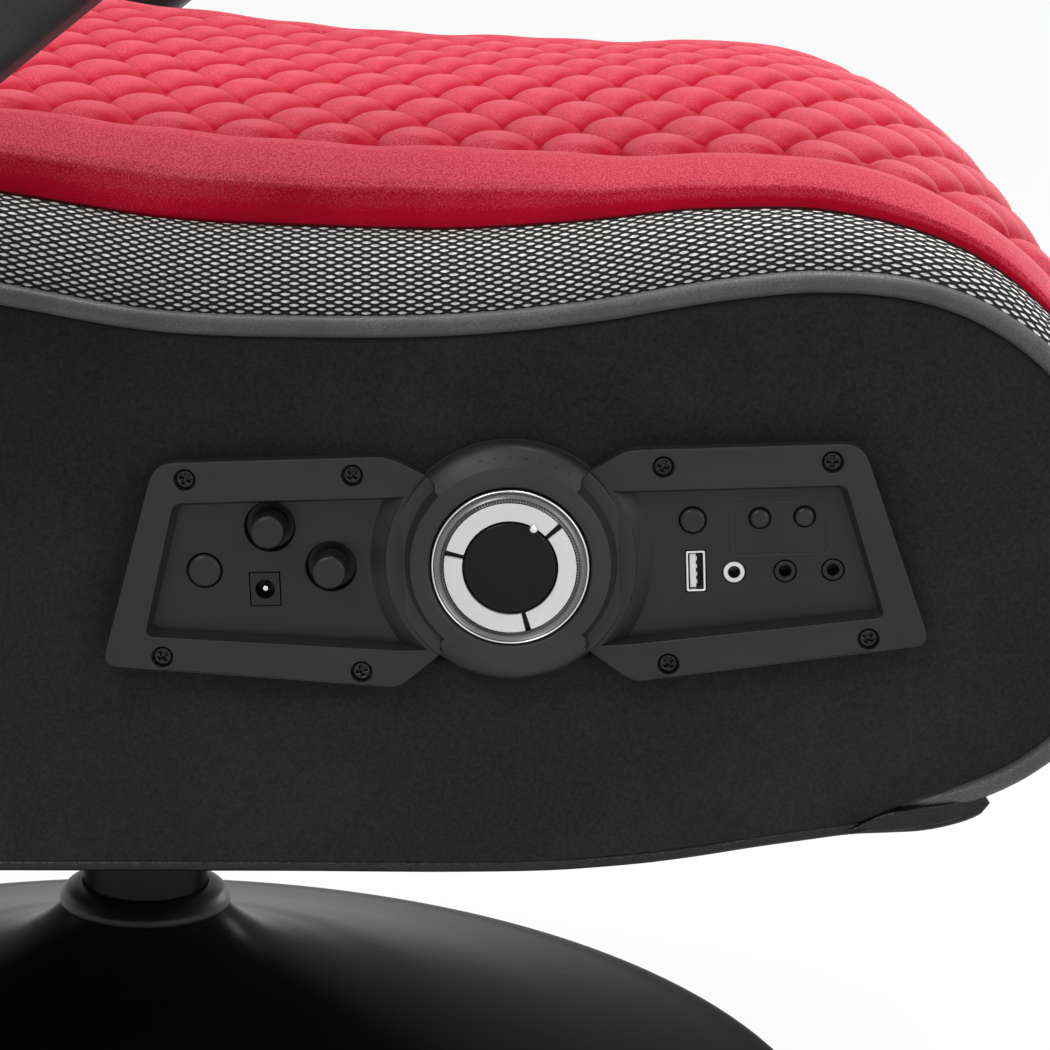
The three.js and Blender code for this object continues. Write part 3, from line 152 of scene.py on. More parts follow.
floor = Surface("pale_floor")
floor_grey = floor.shader(base_color=floor.blend(floor.noise(3), 0.86, 0.9), roughness=0.7)
floor_white = floor.add("ShaderNodeEmission", {"Color": 1, "Strength": 1}).outputs[0]
whiteness = floor.math("MULTIPLY", floor.seen_directly(), 0.92)
bm = bmesh.new()
bmesh.ops.create_grid(bm, x_segments=1, y_segments=1, size=9)
floor_mesh = bpy.data.meshes.new("studio_floor")
bm.to_mesh(floor_mesh)
bm.free()
floor_mesh.materials.append(floor.output(floor.mix_shaders(whiteness, floor_grey, floor_white)))
studio_floor = bpy.data.objects.new("studio_floor", floor_mesh)
scene.collection.objects.link(studio_floor)

world = bpy.data.worlds.new("surround")
scene.world = world
world.use_nodes = True
sky = Nodes(world.node_tree)
white = sky.add("ShaderNodeBackground", {"Color": 1}).outputs[0]
light = sky.add("ShaderNodeBackground", {"Color": (0.95, 0.97, 1), "Strength": 0.36}).outputs[0]
sky.add("ShaderNodeOutputWorld", {"Surface": sky.mix_shaders(sky.seen_directly(), light, white)})
for name, place, aim, size, power in (
    ("key_lamp", (-1.1, -1.8, 2.5), (0.1, 0, 0.35), 1.2, 30),
    ("fill_lamp", (1.9, -1.6, 1.3), (0.1, 0, 0.35), 1.6, 12),
    ("top_lamp", (0.4, 0.3, 2.8), (0.1, 0, 0.4), 1.2, 62),
    ("low_lamp", (0.85, 1.13, 0.66), (0.05, 0, 0.09), 0.3, 9),
):
    lamp = bpy.data.lights.new(name, "AREA")
    lamp.size = size
    lamp.energy = power
    holder = bpy.data.objects.new(name, lamp)
    holder.location = place
    holder.rotation_euler = (Vector(aim) - Vector(place)).to_track_quat("-Z", "Y").to_euler()
    scene.collection.objects.link(holder)

# --- pedestal
# The foot is a spun steel trumpet with a rolled rim, powder coated satin black, over a steel
# ballast plate and a rubber ring. A plastic collar closes its neck round the welded column.


def arc_between(a, corner, b, reach, steps):
    """Points that round a corner between two others, starting at a reach before it."""
    a, c, b = Vector(a), Vector(corner), Vector(b)
    start, stop = c + (a - c).normalized() * reach, c + (b - c).normalized() * reach
    shares = (i / steps for i in range(steps + 1))
    return [tuple(start * (1 - t) ** 2 + c * 2 * t * (1 - t) + stop * t * t) for t in shares]


def round_off(points, radius, steps=4):
    """Round the corners of an open run of (x, y) points."""
    made = [points[0]]
    for before, corner, after in zip(points, points[1:], points[2:]):
        a, c, b = Vector(before), Vector(corner), Vector(after)
        reach = min(radius, (a - c).length * 0.45, (b - c).length * 0.45)
        made += arc_between(a, c, b, reach, steps)
    return made + [points[-1]]


def put(bm, name, material, replaced=(), body="seat", place=None, sharp=35):
    """Turn a bmesh into a finished piece that rides on a body of the chair."""
    if place is not None:
        bmesh.ops.transform(bm, matrix=place, verts=bm.verts)
    bmesh.ops.recalc_face_normals(bm, faces=bm.faces)
    mesh = bpy.data.meshes.new(name)
    bm.to_mesh(mesh)
    bm.free()
    mesh.shade_smooth()
    if sharp:
        mesh.set_sharp_from_angle(angle=radians(sharp))
    mesh.materials.append(material)
    piece = bpy.data.objects.new(name, mesh)
    scene.collection.objects.link(piece)
    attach(piece, body)
    if replaced:
        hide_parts(*replaced)
    return piece


def spun(profile, steps=96, closed=False):
    """A bmesh turned about Z from (radius, height) points in millimetres."""
    bm = bmesh.new()
    ring = [bm.verts.new((r * mm, 0, z * mm)) for r, z in profile]
    edges = [bm.edges.new(pair) for pair in zip(ring, ring[1:])]
    if closed:
        edges.append(bm.edges.new((ring[-1], ring[0])))
    bmesh.ops.spin(bm, geom=ring + edges, cent=(0, 0, 0), axis=(0, 0, 1), angle=2 * pi,
                   steps=steps, use_merge=True)
    bmesh.ops.remove_doubles(bm, verts=bm.verts, dist=1e-6)
    return bm


def shared_effect(*labels):
    """Make a node group from a function that is given its nodes and inputs and names its outputs."""
    def group_of(fill):
        group = bpy.data.node_groups.new(fill.__name__, "ShaderNodeTree")
        nodes = Nodes(group)
        for label in labels:
            group.interface.new_socket(label, in_out="INPUT", socket_type="NodeSocketFloat")
        made = fill(nodes, *nodes.add("NodeGroupInput").outputs[:len(labels)])
        for label in made:
            kind = "NodeSocketVector" if label == "Normal" else "NodeSocketFloat"
            group.interface.new_socket(label, in_out="OUTPUT", socket_type=kind)
        nodes.add("NodeGroupOutput", made)
        return group
    return group_of


@shared_effect("Scale", "Detail", "Low", "High")
def slow_patches(nodes, scale, detail, low, high):
    """Dust, oil and wear, which come in slow patches."""
    return {"Value": nodes.spread(nodes.noise(scale, detail), low, high)}


@shared_effect("Scale", "Detail", "Depth")
def fine_grain(nodes, scale, detail, depth):
    """The grain of coats, mouldings and cloth."""
    value = nodes.noise(scale, detail)
    return {"Value": value, "Normal": nodes.bump(value, depth)}


def coated_metal(name, slot, colour, roughness, glare):
    """Powder coat on steel: a fine orange peel and faint dust, with little glare at its edges."""
    look = Surface(name, slot)
    dusty = tuple(c * 1.2 + 0.0008 for c in colour)
    return look.finish(
        base_color=look.blend(look.effect(slow_patches, 9, 3, 0.3, 0.8)[0], colour, dusty), metallic=0.75,
        ior=1.12, roughness=roughness, specular_tint=glare,
        normal=look.effect(fine_grain, 1400, 1, 0.000002)["Normal"])


satin_black = coated_metal("satin_black_powder_coat", "satin_black", (0.017, 0.017, 0.0175), 0.26, 0.18)
trumpet = [
    (33.2, 104), (36, 100.5), (42, 94.8), (53, 87), (66, 80.6), (79, 75.6), (97, 69), (120, 61.8),
    (147, 52.6), (176, 43), (204, 33.8), (232, 25.2), (252, 19.3), (271, 13.8), (282, 11), (287.5, 9.4),
]
rim = [(288.9, 8.6), (289, 7.4), (288.4, 6.5), (287.2, 6.5), (286.6, 7.4)]
inside = [(r - 0.7, z - 2) for r, z in reversed(trumpet[1:-1])] + [(31.3, 101.8)]
put(spun(round_off(trumpet, 9, 3) + rim + inside, 144, True), "pedestal_shell", satin_black,
    ["base_shell"], "base", sharp=60)
put(spun([(25.4, 147), (25.4, 5.5), (23.5, 5.5), (23.5, 140), (23.5, 147)], 96, True),
    "pedestal_column", satin_black, ["column_tube"], "base")


def moulded(name, slot, dark, light, roughness, grain=2600, depth=0.000012, mottle=25, gloss=0.3):
    """Injection-moulded plastic: a spark-eroded grain with slow changes of gloss and tone."""
    look = Surface(name, slot)
    tone = look.effect(slow_patches, mottle, 3, 0.3, 0.7)[0]
    dull = look.effect(slow_patches, mottle * 3, 2, 0.3, 0.7)[0]
    return look.finish(
        base_color=look.blend(tone, dark, light), specular_ior_level=gloss,
        roughness=look.math("MULTIPLY_ADD", dull, 0.09, roughness - 0.04),
        normal=look.effect(fine_grain, grain, 2, depth)["Normal"])


collar_plastic = moulded("collar_plastic", "black_plastic", 0.004, 0.009, 0.4)
collar = [(25.8, 97.2), (32.6, 97.2), (32.6, 104.5), (34.8, 104.6), (34.8, 107.4), (32.4, 110.6),
          (28.6, 112.6), (25.8, 113)]
put(spun(round_off(collar, 1.4), 96, True), "column_collar_ring", collar_plastic, ["column_collar"], "base")
rubber = moulded("black_rubber", "rubber", 0.006, 0.014, 0.85, 900, 0.00004)
foot = round_off([(272, 6), (272, 1), (273, 0), (286, 0), (287, 1), (287, 6)], 0.8)
put(spun(foot, 144, True), "rubber_foot", rubber, ["foot_ring"], "base")


@shared_effect("Depth")
def rolled_lines(nodes, depth):
    """The long fine lines that rollers leave in sheet metal."""
    value = nodes.noise(160, 3, stretch=(1, 12, 12))
    return {"Value": value, "Normal": nodes.bump(value, depth)}


def mill_steel(name, dark, light, roughness):
    """Bare rolled steel: fine lines from the rollers, with dull patches of oil and dust."""
    look = Surface(name, "silver")
    lines = look.effect(rolled_lines, 0.00001)
    dull = look.effect(slow_patches, 20, 4, 0.35, 0.7)[0]
    return look.finish(
        base_color=look.blend(lines["Value"], dark, light), metallic=1, normal=lines["Normal"],
        roughness=look.math("MULTIPLY_ADD", dull, 0.15, roughness))


def clothe(material, *names):
    """Give the chair's own solids a finished material where their shape stays."""
    for name in names:
        bpy.data.objects[name].data.materials.clear()
        bpy.data.objects[name].data.materials.append(material)


steel = mill_steel("mill_finish_steel", (0.32, 0.33, 0.34), (0.5, 0.51, 0.52), 0.38)
clothe(steel, "base_plate")
clothe(collar_plastic, "column_bush")

# --- swivel and rocking head
# A turned spindle stands in the column's bush. The channel bracket on it and the plate under the
# seat are pressed steel, joined by one axle through a rubber sleeve.
clothe(steel, "swivel_spindle", "tilt_bracket", "tilt_axle", "seat_bracket")
clothe(rubber, "torsion_sleeve")

# --- seat box
# Plywood boards, stapled, glued and stained black, hold the foam. A thin black cover closes the
# underside, and a small motor hangs below the deck to shake it.
look = Surface("stained_plywood")
grain = look.noise(40, 4, stretch=(1, 9, 9))
plies = look.spread(look.noise(8, 1, stretch=(1, 1, 60)), 0.45, 0.6)
stained = look.blend(grain, (0.008, 0.007, 0.006), (0.022, 0.019, 0.016))
plywood = look.finish(base_color=look.blend(plies, stained, (0.012, 0.01, 0.008)), roughness=0.7,
                      normal=look.bump(grain, 0.00008))
clothe(plywood, "seat_base_board", "front_rail", "seat_deck", "back_board")
look = Surface("underside_cover_cloth", "foam")
weave = look.effect(fine_grain, 900, 2, 0.0002)
cover_cloth = look.finish(base_color=look.blend(weave["Value"], 0.004, 0.02), normal=weave["Normal"],
                          roughness=0.9)
clothe(cover_cloth, "dust_cover")
motor_plastic = moulded("motor_plastic", "dark_plastic", (0.008, 0.008, 0.009), (0.016, 0.016, 0.017), 0.45)
clothe(motor_plastic, "vibration_motor")

# --- seat's suede side panels
# Padded boards covered in black suede. Their outline follows the seat: a dip for the thighs, a
# crest over the knees and a round nose; the rear ends in a hollow for the back's round foot.
seat_place = moved(20, 0, 190) @ turned(-3, "Y") @ moved(-20, 0, -190)
seat_reach, seat_base, side_height, seam_rise = 345, 210, 187, 55
seat_edge = [
    (-0.325, 1.1, 0.86), (-0.16, 1.035, 0.93), (-0.006, 0.984, 0.97), (0.128, 0.94, 1), (0.264, 0.928, 0.98),
    (0.4, 0.93, 0.93), (0.52, 0.95, 0.83), (0.646, 0.987, 0.7), (0.733, 1, 0.61), (0.821, 0.983, 0.49),
    (0.887, 0.933, 0.39), (0.944, 0.846, 0.3), (0.985, 0.712, 0.25), (1, 0.561, 0.23), (0.994, 0.401, 0.2),
    (0.971, 0.278, 0.18), (0.922, 0.193, 0.15), (0.862, 0.139, 0.12), (0.81, 0.105, 0.1),
]


def smooth_run(points, steps=24):
    """A smooth run through points, with knots spaced by the root of their distances."""
    p = np.array(points, float)
    p = np.vstack([2 * p[0] - p[1], p, 2 * p[-1] - p[-2]])
    made = []
    for i in range(1, len(p) - 2):
        a, b, c, d = p[i - 1:i + 3]
        k0 = max(np.linalg.norm(b - a) ** 0.5, 1e-6)
        k1 = np.linalg.norm(c - b) ** 0.5
        k2 = max(np.linalg.norm(d - c) ** 0.5, 1e-6)
        m1 = ((b - a) / k0 - (c - a) / (k0 + k1) + (c - b) / k1) * k1
        m2 = ((c - b) / k1 - (d - b) / (k1 + k2) + (d - c) / k2) * k1
        t = np.linspace(0, 1, steps, endpoint=False)[:, None]
        made.append(b + m1 * t + (3 * (c - b) - 2 * m1 - m2) * t ** 2 + (2 * (b - c) + m1 + m2) * t ** 3)
    return np.vstack(made + [p[-2:-1]])


class EdgeRun:
    """Places along a padded edge: x, z, outward normal and cushion rise, by length in millimetres."""

    def __init__(self, points):
        self.run = smooth_run(points)
        self.s = np.concatenate([[0], np.cumsum(np.hypot(*np.diff(self.run[:, :2], axis=0).T))])
        self.length = self.s[-1]
        along = np.gradient(self.run[:, :2], self.s, axis=0)
        along /= np.linalg.norm(along, axis=1)[:, None]
        self.normal = np.stack([-along[:, 1], along[:, 0]], 1)

    def at(self, s):
        x, z, rise = (np.interp(s, self.s, self.run[:, k]) for k in range(3))
        nx, nz = (np.interp(s, self.s, self.normal[:, k]) for k in range(2))
        size = np.hypot(nx, nz)
        return x, z, nx / size, nz / size, rise

    def evenly(self, count):
        return [self.at(s) for s in np.linspace(0, self.length, count)]


seat_run = EdgeRun([(x * seat_reach, seat_base + z * side_height, rise * seam_rise) for x, z, rise in seat_edge])
# The back's round foot turns about this hinge, and each piece of the seat keeps its own distance.
hinge_x, hinge_z, joint_radius = -170, 492, 85
side_gap, padding_gap, foam_gap = 87, 87.2, 88


def from_hinge(x, z):
    return hypot(x - hinge_x, z - hinge_z)


def arc(x, y, radius, first, last, count):
    return [(x + radius * cos(a), y + radius * sin(a)) for a in np.linspace(first, last, count)]


def flat_curve(outlines, depth, edge, resolution=3, base=0):
    """A bmesh slab from closed outlines in millimetres, with rounded edges, standing on z = base."""
    data = bpy.data.curves.new("outline", "CURVE")
    data.dimensions = "2D"
    data.fill_mode = "BOTH"
    for outline in outlines:
        spline = data.splines.new("POLY")
        spline.points.add(len(outline) - 1)
        for point, (x, y) in zip(spline.points, outline):
            point.co = (x * mm, y * mm, 0, 1)
        spline.use_cyclic_u = True
    data.extrude = (depth / 2 - edge) * mm
    data.bevel_depth = edge * mm
    data.bevel_resolution = resolution
    data.offset = -edge * mm
    holder = bpy.data.objects.new("outline", data)
    scene.collection.objects.link(holder)
    mesh = bpy.data.meshes.new_from_object(holder.evaluated_get(bpy.context.evaluated_depsgraph_get()))
    bm = bmesh.new()
    bm.from_mesh(mesh)
    bpy.data.objects.remove(holder)
    bpy.data.meshes.remove(mesh)
    bmesh.ops.remove_doubles(bm, verts=bm.verts, dist=1e-6)
    for rise in (depth / 2, base):
        bmesh.ops.translate(bm, verts=bm.verts, vec=(0, 0, rise * mm))
    return bm


look = Surface("black_suede", "suede")
nap = look.noise(26, 5)
fibres = look.noise(1500, 3)
brushed_nap = look.math("MULTIPLY", look.spread(nap, 0.35, 0.68), 0.6)
streaks = look.spread(look.noise(9, 3, stretch=(1, 1, 3)), 0.3, 0.7)
stroked = look.math("MULTIPLY", look.math("MULTIPLY_ADD", streaks, 0.4, brushed_nap), 0.4)
specks = look.effect(slow_patches, 950, 2, 0.3, 0.7)[0]
specks = look.math("MULTIPLY_ADD", specks, 0.6, stroked)
suede = look.finish(
    base_color=look.blend(specks, (0.0055, 0.0053, 0.0055), (0.0205, 0.02, 0.0205)),
    roughness=look.spread(fibres, 0.3, 0.7, 0.85, 1),
    normal=look.bump(fibres, 0.00012, Normal=look.bump(nap, 0.0006)),
    sheen_weight=0.12, sheen_roughness=0.5, specular_ior_level=0.15)

side_in, side_out = 222, 252
hem = [(262.2, 222.3), (234.6, 218.4), (200.1, 213.4), (165.6, 210)]
corner = [(-189 - 26 * sin(a), 236 - 26 * cos(a)) for a in np.linspace(0, pi / 2, 9)]
top_edge = [(x, z) for x, z, *_ in seat_run.evenly(90) if from_hinge(x, z) > foam_gap]
arc_end = np.arctan2(top_edge[0][1] - hinge_z, top_edge[0][0] - hinge_x)
seat_outline = arc(hinge_x, hinge_z, side_gap, -pi + 1.02, arc_end, 18) + top_edge + hem + corner
panel_tilt = radians(1.5)
panel_middle = (156, 312.4)


def lipped(lip):
    """The control panel's trapezoid wings as one outline, grown by a lip."""
    half = [(103.5 + lip, 20.4 + lip), (115 + lip, -19.2 - lip), (37, -26.6 - lip)]
    return half + [(-x, y) for x, y in reversed(half)]


def on_side(points):
    """Points of the panel, as they lie on the seat's side."""
    c, s = cos(panel_tilt), sin(panel_tilt)
    return [(panel_middle[0] + x * c - y * s, panel_middle[1] + x * s + y * c) for x, y in points]


def standing(place, y):
    """Where a slab cut in the plane of the chair's side goes: it grows towards -Y from y."""
    return place @ moved(0, y) @ turned(90, "X")


for side, name in sides:
    slab = flat_curve([seat_outline] + ([on_side(lipped(5))] if side < 0 else []), side_out - side_in, 2.6)
    put(slab, f"suede_side_{name}", suede, [f"seat_side_{name}"],
        place=standing(seat_place, -side_in if side < 0 else side_out), sharp=40)
clothe(suede, "seat_rear_panel")

# --- seat's foam block
# A cut block of foam lies on the deck and wraps down over the front rail. It is sewn into black
# lining cloth, which shows in the round hollow when the back folds away.
foam_half, foam_foot, foam_rear, foam_front, foam_top = 217.3, 352.6, -202, 270.8, 0.8
foam_start = -pi / 2 - np.arcsin((hinge_x - foam_rear) / foam_gap)
foam_outline = [(foam_rear, foam_foot)] + arc(hinge_x, hinge_z, foam_gap, foam_start, arc_end, 18)
foam_outline += [(x - nx * foam_top, z - nz * foam_top) for x, z, nx, nz, _ in seat_run.evenly(90)
                 if from_hinge(x, z) > foam_gap + 2]
foam_outline += [(foam_front, 226.6), (foam_front, foam_foot)]
put(flat_curve([foam_outline], 2 * foam_half, 1.5), "lined_foam_block", cover_cloth, ["seat_foam"],
    place=standing(seat_place, foam_half), sharp=40)

# --- seat's welts and piping
# A fat grey vinyl welt is sewn into the seam over each side panel, and thin black piping runs
# along the lower hem. The vinyl is pleated where it turns under the nose.


def swept(run, section, reach, along, name, material, replaced=(), side=1, wave=None, hollow=None,
          uv=None, place=seat_place, body="seat", sharp=50, soft=None):
    """Padding swept along a run, between the two lengths of its reach. section(rise) gives closed
    loops of (y, out) in millimetres, wave lifts their points, and hollow gives each point a value
    from 0 to 1, kept as the hollow attribute, which the velvet turns into painted shade. On the seat
    the padding keeps clear of the round joint."""
    bm = bmesh.new()
    s = np.linspace(*reach, along + 1)
    x, z, nx, nz, rise = run.at(s)
    loop = section(rise)
    around = loop.shape[1] - 1
    bmesh.ops.create_grid(bm, x_segments=along, y_segments=around, size=1)
    mesh = bpy.data.meshes.new(name)
    bm.to_mesh(mesh)
    bm.free()
    unit = np.zeros(len(mesh.vertices) * 3)
    mesh.vertices.foreach_get("co", unit)
    unit = unit.reshape(-1, 3)
    i = np.rint((unit[:, 0] + 1) / 2 * along).astype(int)
    j = np.rint((unit[:, 1] + 1) / 2 * around).astype(int)
    y, out = loop[i, j, 0], loop[i, j, 1]
    # The hollow attribute is a mask of painted shade for the velvet.
    deep = hollow(s[i], y, out, rise[i]) if hollow else 0 * out
    mesh.attributes.new("hollow", "FLOAT", "POINT").data.foreach_set("value", deep)
    if wave:
        out = out + wave(s[i], y, out, rise[i])
    px, pz = x[i] + nx[i] * out, z[i] + nz[i] * out
    if run is seat_run:
        dx, dz = px - hinge_x, pz - hinge_z
        grow = np.maximum(1, padding_gap / np.maximum(np.hypot(dx, dz), 1e-6))
        px, pz = hinge_x + dx * grow, hinge_z + dz * grow
    mesh.vertices.foreach_set("co", np.stack([px * mm, side * y * mm, pz * mm], 1).ravel())
    if uv:
        layer = mesh.uv_layers.new(name="length_and_width")
        index = np.zeros(len(mesh.loops), int)
        mesh.loops.foreach_get("vertex_index", index)
        layer.data.foreach_set("uv", np.stack(uv(s[i], loop, i, j), 1)[index].ravel())
    bm = bmesh.new()
    bm.from_mesh(mesh)
    bpy.data.meshes.remove(mesh)
    bmesh.ops.remove_doubles(bm, verts=bm.verts, dist=2e-6)
    bmesh.ops.holes_fill(bm, edges=[e for e in bm.edges if e.is_boundary], sides=0)
    return put(bm, name, material, replaced, body, place, sharp)


def ring_section(centre_y, centre_out, radius, count=12, taper=0.0):
    """A round cord's section; over the last share of the run it thins out to a point."""
    a = np.linspace(0, 2 * pi, count + 1)

    def section(rise):
        left = np.linspace(1, 0, len(rise))[:, None]
        size = radius * np.clip(left / taper, 0.12, 1) ** 0.6 if taper else radius * np.ones_like(left)
        shift = size - radius
        return np.stack([centre_y + shift + size * np.cos(a), centre_out + shift + size * np.sin(a)], 2)
    return section


@shared_effect("Scale", "Depth")
def leather_pebbles(nodes, scale, depth):
    """Small round cells, from 0 in the creases between them to 1."""
    place = nodes.add("ShaderNodeTexCoord").outputs["Object"]
    cells = nodes.add("ShaderNodeTexVoronoi", {"Vector": place, "Scale": scale}, feature="DISTANCE_TO_EDGE")
    crease = nodes.spread(cells.outputs["Distance"], 0, 0.12)
    return {"Value": crease, "Normal": nodes.bump(crease, depth)}


def vinyl(name, slot, dark, light, roughness, scale, depth, gloss=0.35):
    """Coated vinyl: shallow leather pebbles, with the gloss lower in the creases."""
    look = Surface(name, slot)
    pebbles = look.effect(leather_pebbles, scale, depth)
    worn = look.effect(slow_patches, 60, 3, 0.25, 0.7)[0]
    return look.finish(
        base_color=look.blend(look.math("MULTIPLY", pebbles["Value"], worn), dark, light),
        roughness=look.spread(pebbles["Value"], 0, 1, roughness + 0.2, roughness),
        normal=pebbles["Normal"], specular_ior_level=gloss)


def rounded(points, radii, steps=5):
    """A closed outline with each corner rounded by its own reach."""
    made = []
    for k, (corner, radius) in enumerate(zip(points, radii)):
        after = points[(k + 1) % len(points)]
        made += arc_between(points[k - 1], corner, after, radius, steps) if radius else [corner]
    return made


def cut_across(bm, axis, places):
    """Divide a mesh's faces at places in millimetres, so that it can be bent there."""
    normal = [float(k == axis) for k in range(3)]
    for at in places:
        bmesh.ops.bisect_plane(bm, geom=bm.verts[:] + bm.edges[:] + bm.faces[:],
                               plane_co=[n * at * mm for n in normal], plane_no=normal)


grey_vinyl = vinyl("grey_piping_vinyl", "grey_vinyl", (0.045, 0.045, 0.046), (0.085, 0.085, 0.087), 0.42,
                   900, 0.00004)
black_vinyl = vinyl("black_piping_vinyl", "vinyl", 0.0025, 0.006, 0.3, 900, 0.00008, 0.3)
welt_section = ring_section(251, 2.8, 3.4, 14, 0.035)
hem_run = EdgeRun([(x, z, 0) for x, z in (
    (304.8, 233), (306.3, 231), (302.6, 228.2), (294, 225.3), (286, 223.8), (276, 223.2), (264, 222.6),
    (248, 220.4), (232, 218), (216, 215.3), (200, 213), (184, 211.4), (167, 210.2), (135, 209.6),
    (86, 209.8), (38, 209.8), (-40, 209.8), (-120, 209.8), (-186, 209.8))])
tab_rear, tab_front, tab_in, tab_out = 262, 307, 245.4, 253.4
tab_outline = rounded(
    [(tab_rear, 222.2), (276, 228.6), (290, 230.6), (301, 233), (305.8, 233.4), (305.6, 230.4), (299, 226.6),
     (287, 223.4), (274, 222.2)], [0.6, 2.5, 2.5, 1.6, 1, 1, 2.5, 2.5, 2.5])
for side, name in sides:
    swept(seat_run, welt_section, (14, seat_run.length - 1), 300, f"grey_welt_{name}", grey_vinyl,
          [f"seat_welt_{name}"], side)
    swept(hem_run, ring_section(250.6, 0.2, 2), (0, hem_run.length), 200, f"hem_piping_{name}", black_vinyl,
          side=side)
    tab = flat_curve([tab_outline], tab_out - tab_in, 0.9)
    cut_across(tab, 0, np.linspace(tab_rear, tab_front, 46)[1:-1])
    for v in tab.verts:
        if (v.co.z > 4 * mm) == (side < 0):
            v.co.z -= side * 0.5 * mm * sin((v.co.x / mm - tab_rear) / 2.3)
    put(tab, f"pleated_corner_{name}", black_vinyl,
        place=standing(seat_place, -tab_in if side < 0 else tab_out), sharp=60)

# --- seat's mesh bands
# Between welt and velvet runs a band of black spacer mesh: long oval holes in staggered rows, with
# a pale backing that shows through them.
mesh_half, seam_half, band_outer = 236, 205, side_out - 4.2


def stations(rise, points):
    """A section per station of a run, from points (y, out) that are numbers or arrays by station."""
    return np.stack([np.stack([value + 0 * rise for value in point], -1) for point in points], 1)


def closed_loop(rise, corners, steps):
    """Closed sections through corners, with each side cut into equal steps."""
    p = stations(rise, corners)
    edges = (np.roll(p, -1, axis=1) - p)[:, :, None]
    t = np.linspace(0, 1, steps, endpoint=False)[:, None]
    return np.concatenate([(p[:, :, None] + edges * t).reshape(len(p), -1, 2), p[:, :1]], 1)


def band_top(rise):
    """Height of the seam between mesh and velvet; the velvet is narrower over the nose."""
    return rise * (0.6 + 0.08 * np.clip((0.93 - rise / seam_rise) / 0.2, 0, 1))


def band_section(rise):
    top = band_top(rise)
    bulge = ((0.4, 0.15), (-0.1, 0.32), (-1.1, 0.5), (-2.8, 0.67), (-5.2, 0.82))
    hem_over = ((3.6, 0.93), (0.8, 0.99), (-1, 0.98))
    return closed_loop(rise, [
        (side_in + 1, 0.4), (band_outer, 0.4), *((band_outer + y, top * share) for y, share in bulge),
        *((mesh_half + y, top * share) for y, share in hem_over), (side_in + 1, top * 0.7)], 5)


def band_uv(s, loop, i, j):
    """Length along the seat, and width round the section, in millimetres."""
    steps = np.hypot(*np.moveaxis(np.diff(loop, axis=1), 2, 0))
    return s, np.concatenate([np.zeros((len(loop), 1)), np.cumsum(steps, 1)], 1)[i, j]


hole_length, row_height, hidden_width = 5.66, 1.13, 28
look = Surface("spacer_mesh", "net")
where = look.add("ShaderNodeUVMap", uv_map="length_and_width").outputs[0]
length, width, _ = look.add("ShaderNodeSeparateXYZ", {0: where}).outputs


def from_middle(value, period, size, power):
    """How far a value is from the middle of its period, over the hole's size there."""
    off = look.math("SUBTRACT", look.math("FLOORED_MODULO", value, period), period / 2)
    return look.math("POWER", look.math("ABSOLUTE", look.math("DIVIDE", off, size)), power)


row = look.math("FLOOR", look.math("DIVIDE", width, row_height))
shifted = look.math("ADD", length, look.math("MULTIPLY", look.math("MODULO", row, 2), hole_length / 2))
far = look.math("ADD", from_middle(shifted, hole_length, 1.72, 1.5), from_middle(width, row_height, 0.54, 1.6))
hole = look.math("MULTIPLY", look.spread(far, 0.62, 0.95, 1, 0), look.math("GREATER_THAN", width, hidden_width))
backing = look.blend(look.effect(slow_patches, 900, 2, 0.35, 0.65)[0], (0.6, 0.6, 0.58), (0.98, 0.98, 0.95))
yarn = look.blend(look.noise(2200), (0.004, 0.004, 0.0045), (0.022, 0.022, 0.023))
spacer_mesh = look.finish(base_color=look.blend(hole, yarn, backing), roughness=0.7, specular_ior_level=0.2,
                          normal=look.bump(look.spread(far, 0.4, 1.6), 0.0005))
whole_seat = (0, seat_run.length)
for side, name in sides:
    swept(seat_run, band_section, whole_seat, 200, f"mesh_band_{name}", spacer_mesh, [f"seat_mesh_{name}"],
          side, uv=band_uv)

# --- seat's velvet bolsters
# Plain velvet rolls over soft foam on both sides of the quilting. The seams pull the velvet in, so
# it bulges and ripples a little along its length. Its colour holds painted light: it is painted paler
# and pinker where it faces up (painted top light) and deeper red on its sides (painted shade), with a
# fuzzy border between the two. In the quilting it is also painted darker in the creases and on the
# side of each pillow that falls to the front (painted shade), where its sheen is turned down.
look = Surface("red_velvet", "velvet")
# Painted light: up-facing velvet gets the paler, pinker top colour (painted top light), the rest the deeper side
# colour (painted shade).
facing = look.add("ShaderNodeTexCoord").outputs["Normal"]
facing_up = look.add("ShaderNodeSeparateXYZ", {0: facing}).outputs[2]
crushed = look.noise(22, 4)
pile = look.noise(2000, 2)
# The hollow attribute is painted shade: it darkens the creases and front-falling sides of the quilting and turns
# the sheen down there.
painted_shade_mask = look.add("ShaderNodeAttribute", attribute_name="hollow").outputs["Fac"]
painted_top_light = look.math("MULTIPLY_ADD", look.math("SUBTRACT", pile, 0.5), 0.9, facing_up)
painted_top_light = look.math("MULTIPLY_ADD", look.math("SUBTRACT", crushed, 0.5), 0.5, painted_top_light)
shaded_side_red = look.blend(look.spread(crushed, 0.32, 0.7), (0.37, 0, 0.014), (0.5, 0, 0.022))
lit_top_red = look.blend(look.spread(pile, 0.34, 0.66), (0.42, 0.015, 0.038), (0.66, 0.095, 0.13))
red = look.blend(look.spread(painted_top_light, 0, 0.6), shaded_side_red, lit_top_red)
# Painted shade, deepening towards the quilting's creases.
red = look.blend(look.spread(painted_shade_mask, 0, 0.5), red, (0.38, 0, 0.016))
red = look.blend(look.spread(painted_shade_mask, 0.5, 1), red, (0.2, 0, 0.006))
velvet = look.finish(
    base_color=red, roughness=look.spread(pile, 0.3, 0.7, 0.8, 1), specular_ior_level=0.12,
    normal=look.bump(pile, 0.00018, Normal=look.bump(crushed, 0.0007)), sheen_roughness=0.4,
    sheen_weight=look.spread(painted_shade_mask, 0, 0.8, 0.3, 0), sheen_tint=(1, 0.5, 0.55))


